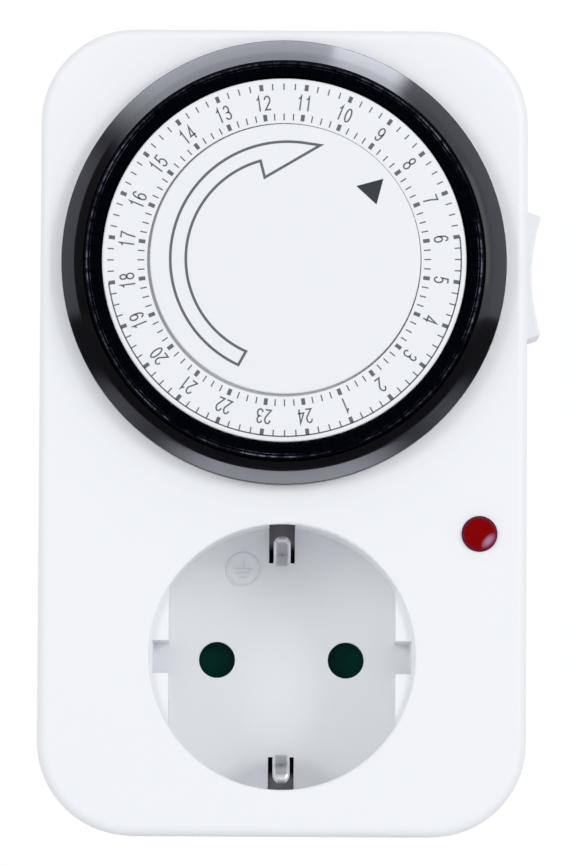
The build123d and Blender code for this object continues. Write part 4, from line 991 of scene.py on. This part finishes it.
class TIMER_OT_stage(bpy.types.Operator):
    """Sets the floor, the soft lights, the surround and the camera"""
    bl_idname = "timer.stage"
    bl_label = "Studio"

    def execute(self, context):
        s = context.scene.timer_studio
        half = 3.0
        square = [[x * half, y * half, -s.floor_drop] for x, y in ((-1, -1), (1, -1), (1, 1), (-1, 1))]
        floor = mesh_object("studio_floor", square, [[0, 1, 2, 3]])
        floor.data.materials.append(floor_finish("Studio floor", linear(246, 247, 248)))

        world = bpy.data.worlds.new("Studio surround")
        context.scene.world = world
        world.use_nodes = True
        tree = world.node_tree
        tree.nodes.clear()
        ray = new_node(tree, "LightPath").outputs
        shown = calculated(tree, "MAXIMUM", ray["Is Camera Ray"], ray["Is Glossy Ray"])
        shown = calculated(tree, "MAXIMUM", shown, ray["Is Transmission Ray"])
        lit = new_node(tree, "Background", {"Color": (0.985, 0.99, 1.0), "Strength": s.surround})
        white = new_node(tree, "Background", {"Color": (1.0, 1.0, 1.0)})
        mixed = new_node(tree, "MixShader", {"Fac": shown, 1: lit.outputs[0], 2: white.outputs[0]})
        new_node(tree, "OutputWorld", {"Surface": mixed.outputs[0]})

        down, up, low_size, low_fade = (0, 0, -1), (0, 0, 1), (0.29, 0.09), (0.5, 0.5, 0, 0)
        mirrored = (
            ("above", (-0.46, -0.9, 0.9), down, (1.28, 2.0), s.above_glow, (0.5, 0, 0, 0)),
            ("window", (0.367, -0.9, 0.9), down, (0.375, 2.0), s.window_glow, (0, 0.3, 0, 0)),
            ("right", (1.0, -0.75, 0.625), (-1, 0, 0), (1.5, 2.55), s.right_glow, (0, 0, 0.12, 0.15)),
            ("left", (-1.0, -0.22, 0.1), (1, 0, 0), (0.44, 1.8), s.left_glow, (0, 0, 0.15, 0.25)),
            ("below", (0.0, -0.088, -0.1), up, (0.27, 0.055), s.below_glow, (0.32, 0.32, 0, 0)),
            ("low left", (-0.2, -0.105, -0.102), up, low_size, s.low_glow, low_fade),
            ("low right", (0.2, -0.105, -0.102), up, low_size, s.low_glow, low_fade),
        )
        for name, place, facing, size, brightness, shares in mirrored:
            watts = brightness * math.pi * size[0] * size[1]
            target = Vector(place) + Vector(facing)
            panel = soft_light(f"Reflection {name}", place, target, size, watts, (0.86, 0.89, 1.0))
            fading(panel, shares)
            with_settings(panel, visible_diffuse=False, visible_camera=False)
            panel.light_linking.receiver_collection = MIRRORS
        target = (0.0, FRONT_Y, 0.04)
        size, warm = (0.45, 0.6), (1.0, 0.99, 0.98)
        right = soft_light("Key right", (0.9, -1.0, 0.35), target, size, s.right_power, warm)
        left = soft_light("Fill left", (-0.9, -1.0, 0.35), target, size, s.left_power)
        left.visible_glossy = False
        right.visible_camera = left.visible_camera = False

        camera = bpy.data.objects.new("Camera", bpy.data.cameras.new("Camera"))
        with_settings(camera.data, lens=285.8, sensor_width=36.0, clip_start=0.05, clip_end=20.0)
        camera.location = (-0.0043, -1.0512, -0.0282)
        aim = Vector((0.0002, FRONT_Y, 0.0326)) - camera.location
        roll = Quaternion((0.0, 0.0, 1.0), s.roll)
        camera.rotation_euler = (aim.to_track_quat("-Z", "Y") @ roll).to_euler()
        context.scene.collection.objects.link(camera)
        context.scene.camera = camera
        context.scene.view_settings.view_transform = "Standard"
        return {"FINISHED"}


OPERATORS = (
    TIMER_OT_stage, TIMER_OT_frame_finishes, TIMER_OT_collar, TIMER_OT_hour_ring, TIMER_OT_centre_disc,
    TIMER_OT_tappets, TIMER_OT_lamp, TIMER_OT_rocker, TIMER_OT_socket_metal, TIMER_OT_earth_mark,
)


class TIMER_PT_panel(bpy.types.Panel):
    """Lists the timer's sizes, colours and steps in the sidebar"""
    bl_idname = "TIMER_PT_panel"
    bl_label = "Plug-in timer"
    bl_space_type = "VIEW_3D"
    bl_region_type = "UI"
    bl_category = "Timer"

    def draw(self, context):
        for name, group in GROUPS.items():
            box = self.layout.box()
            for key in group.__annotations__:
                box.prop(getattr(context.scene, name), key)
        for operator in OPERATORS:
            self.layout.operator(operator.bl_idname)


def register():
    for name, group in GROUPS.items():
        bpy.utils.register_class(group)
        setattr(bpy.types.Scene, name, PointerProperty(type=group))
    for operator in OPERATORS:
        bpy.utils.register_class(operator)
    bpy.utils.register_class(TIMER_PT_panel)


def unregister():
    bpy.utils.unregister_class(TIMER_PT_panel)
    for operator in reversed(OPERATORS):
        bpy.utils.unregister_class(operator)
    for name, group in GROUPS.items():
        delattr(bpy.types.Scene, name)
        bpy.utils.unregister_class(group)


def main():
    register()
    for operator in OPERATORS:
        getattr(bpy.ops.timer, operator.bl_idname.split(".")[1])()


if __name__ == "__main__":
    main()
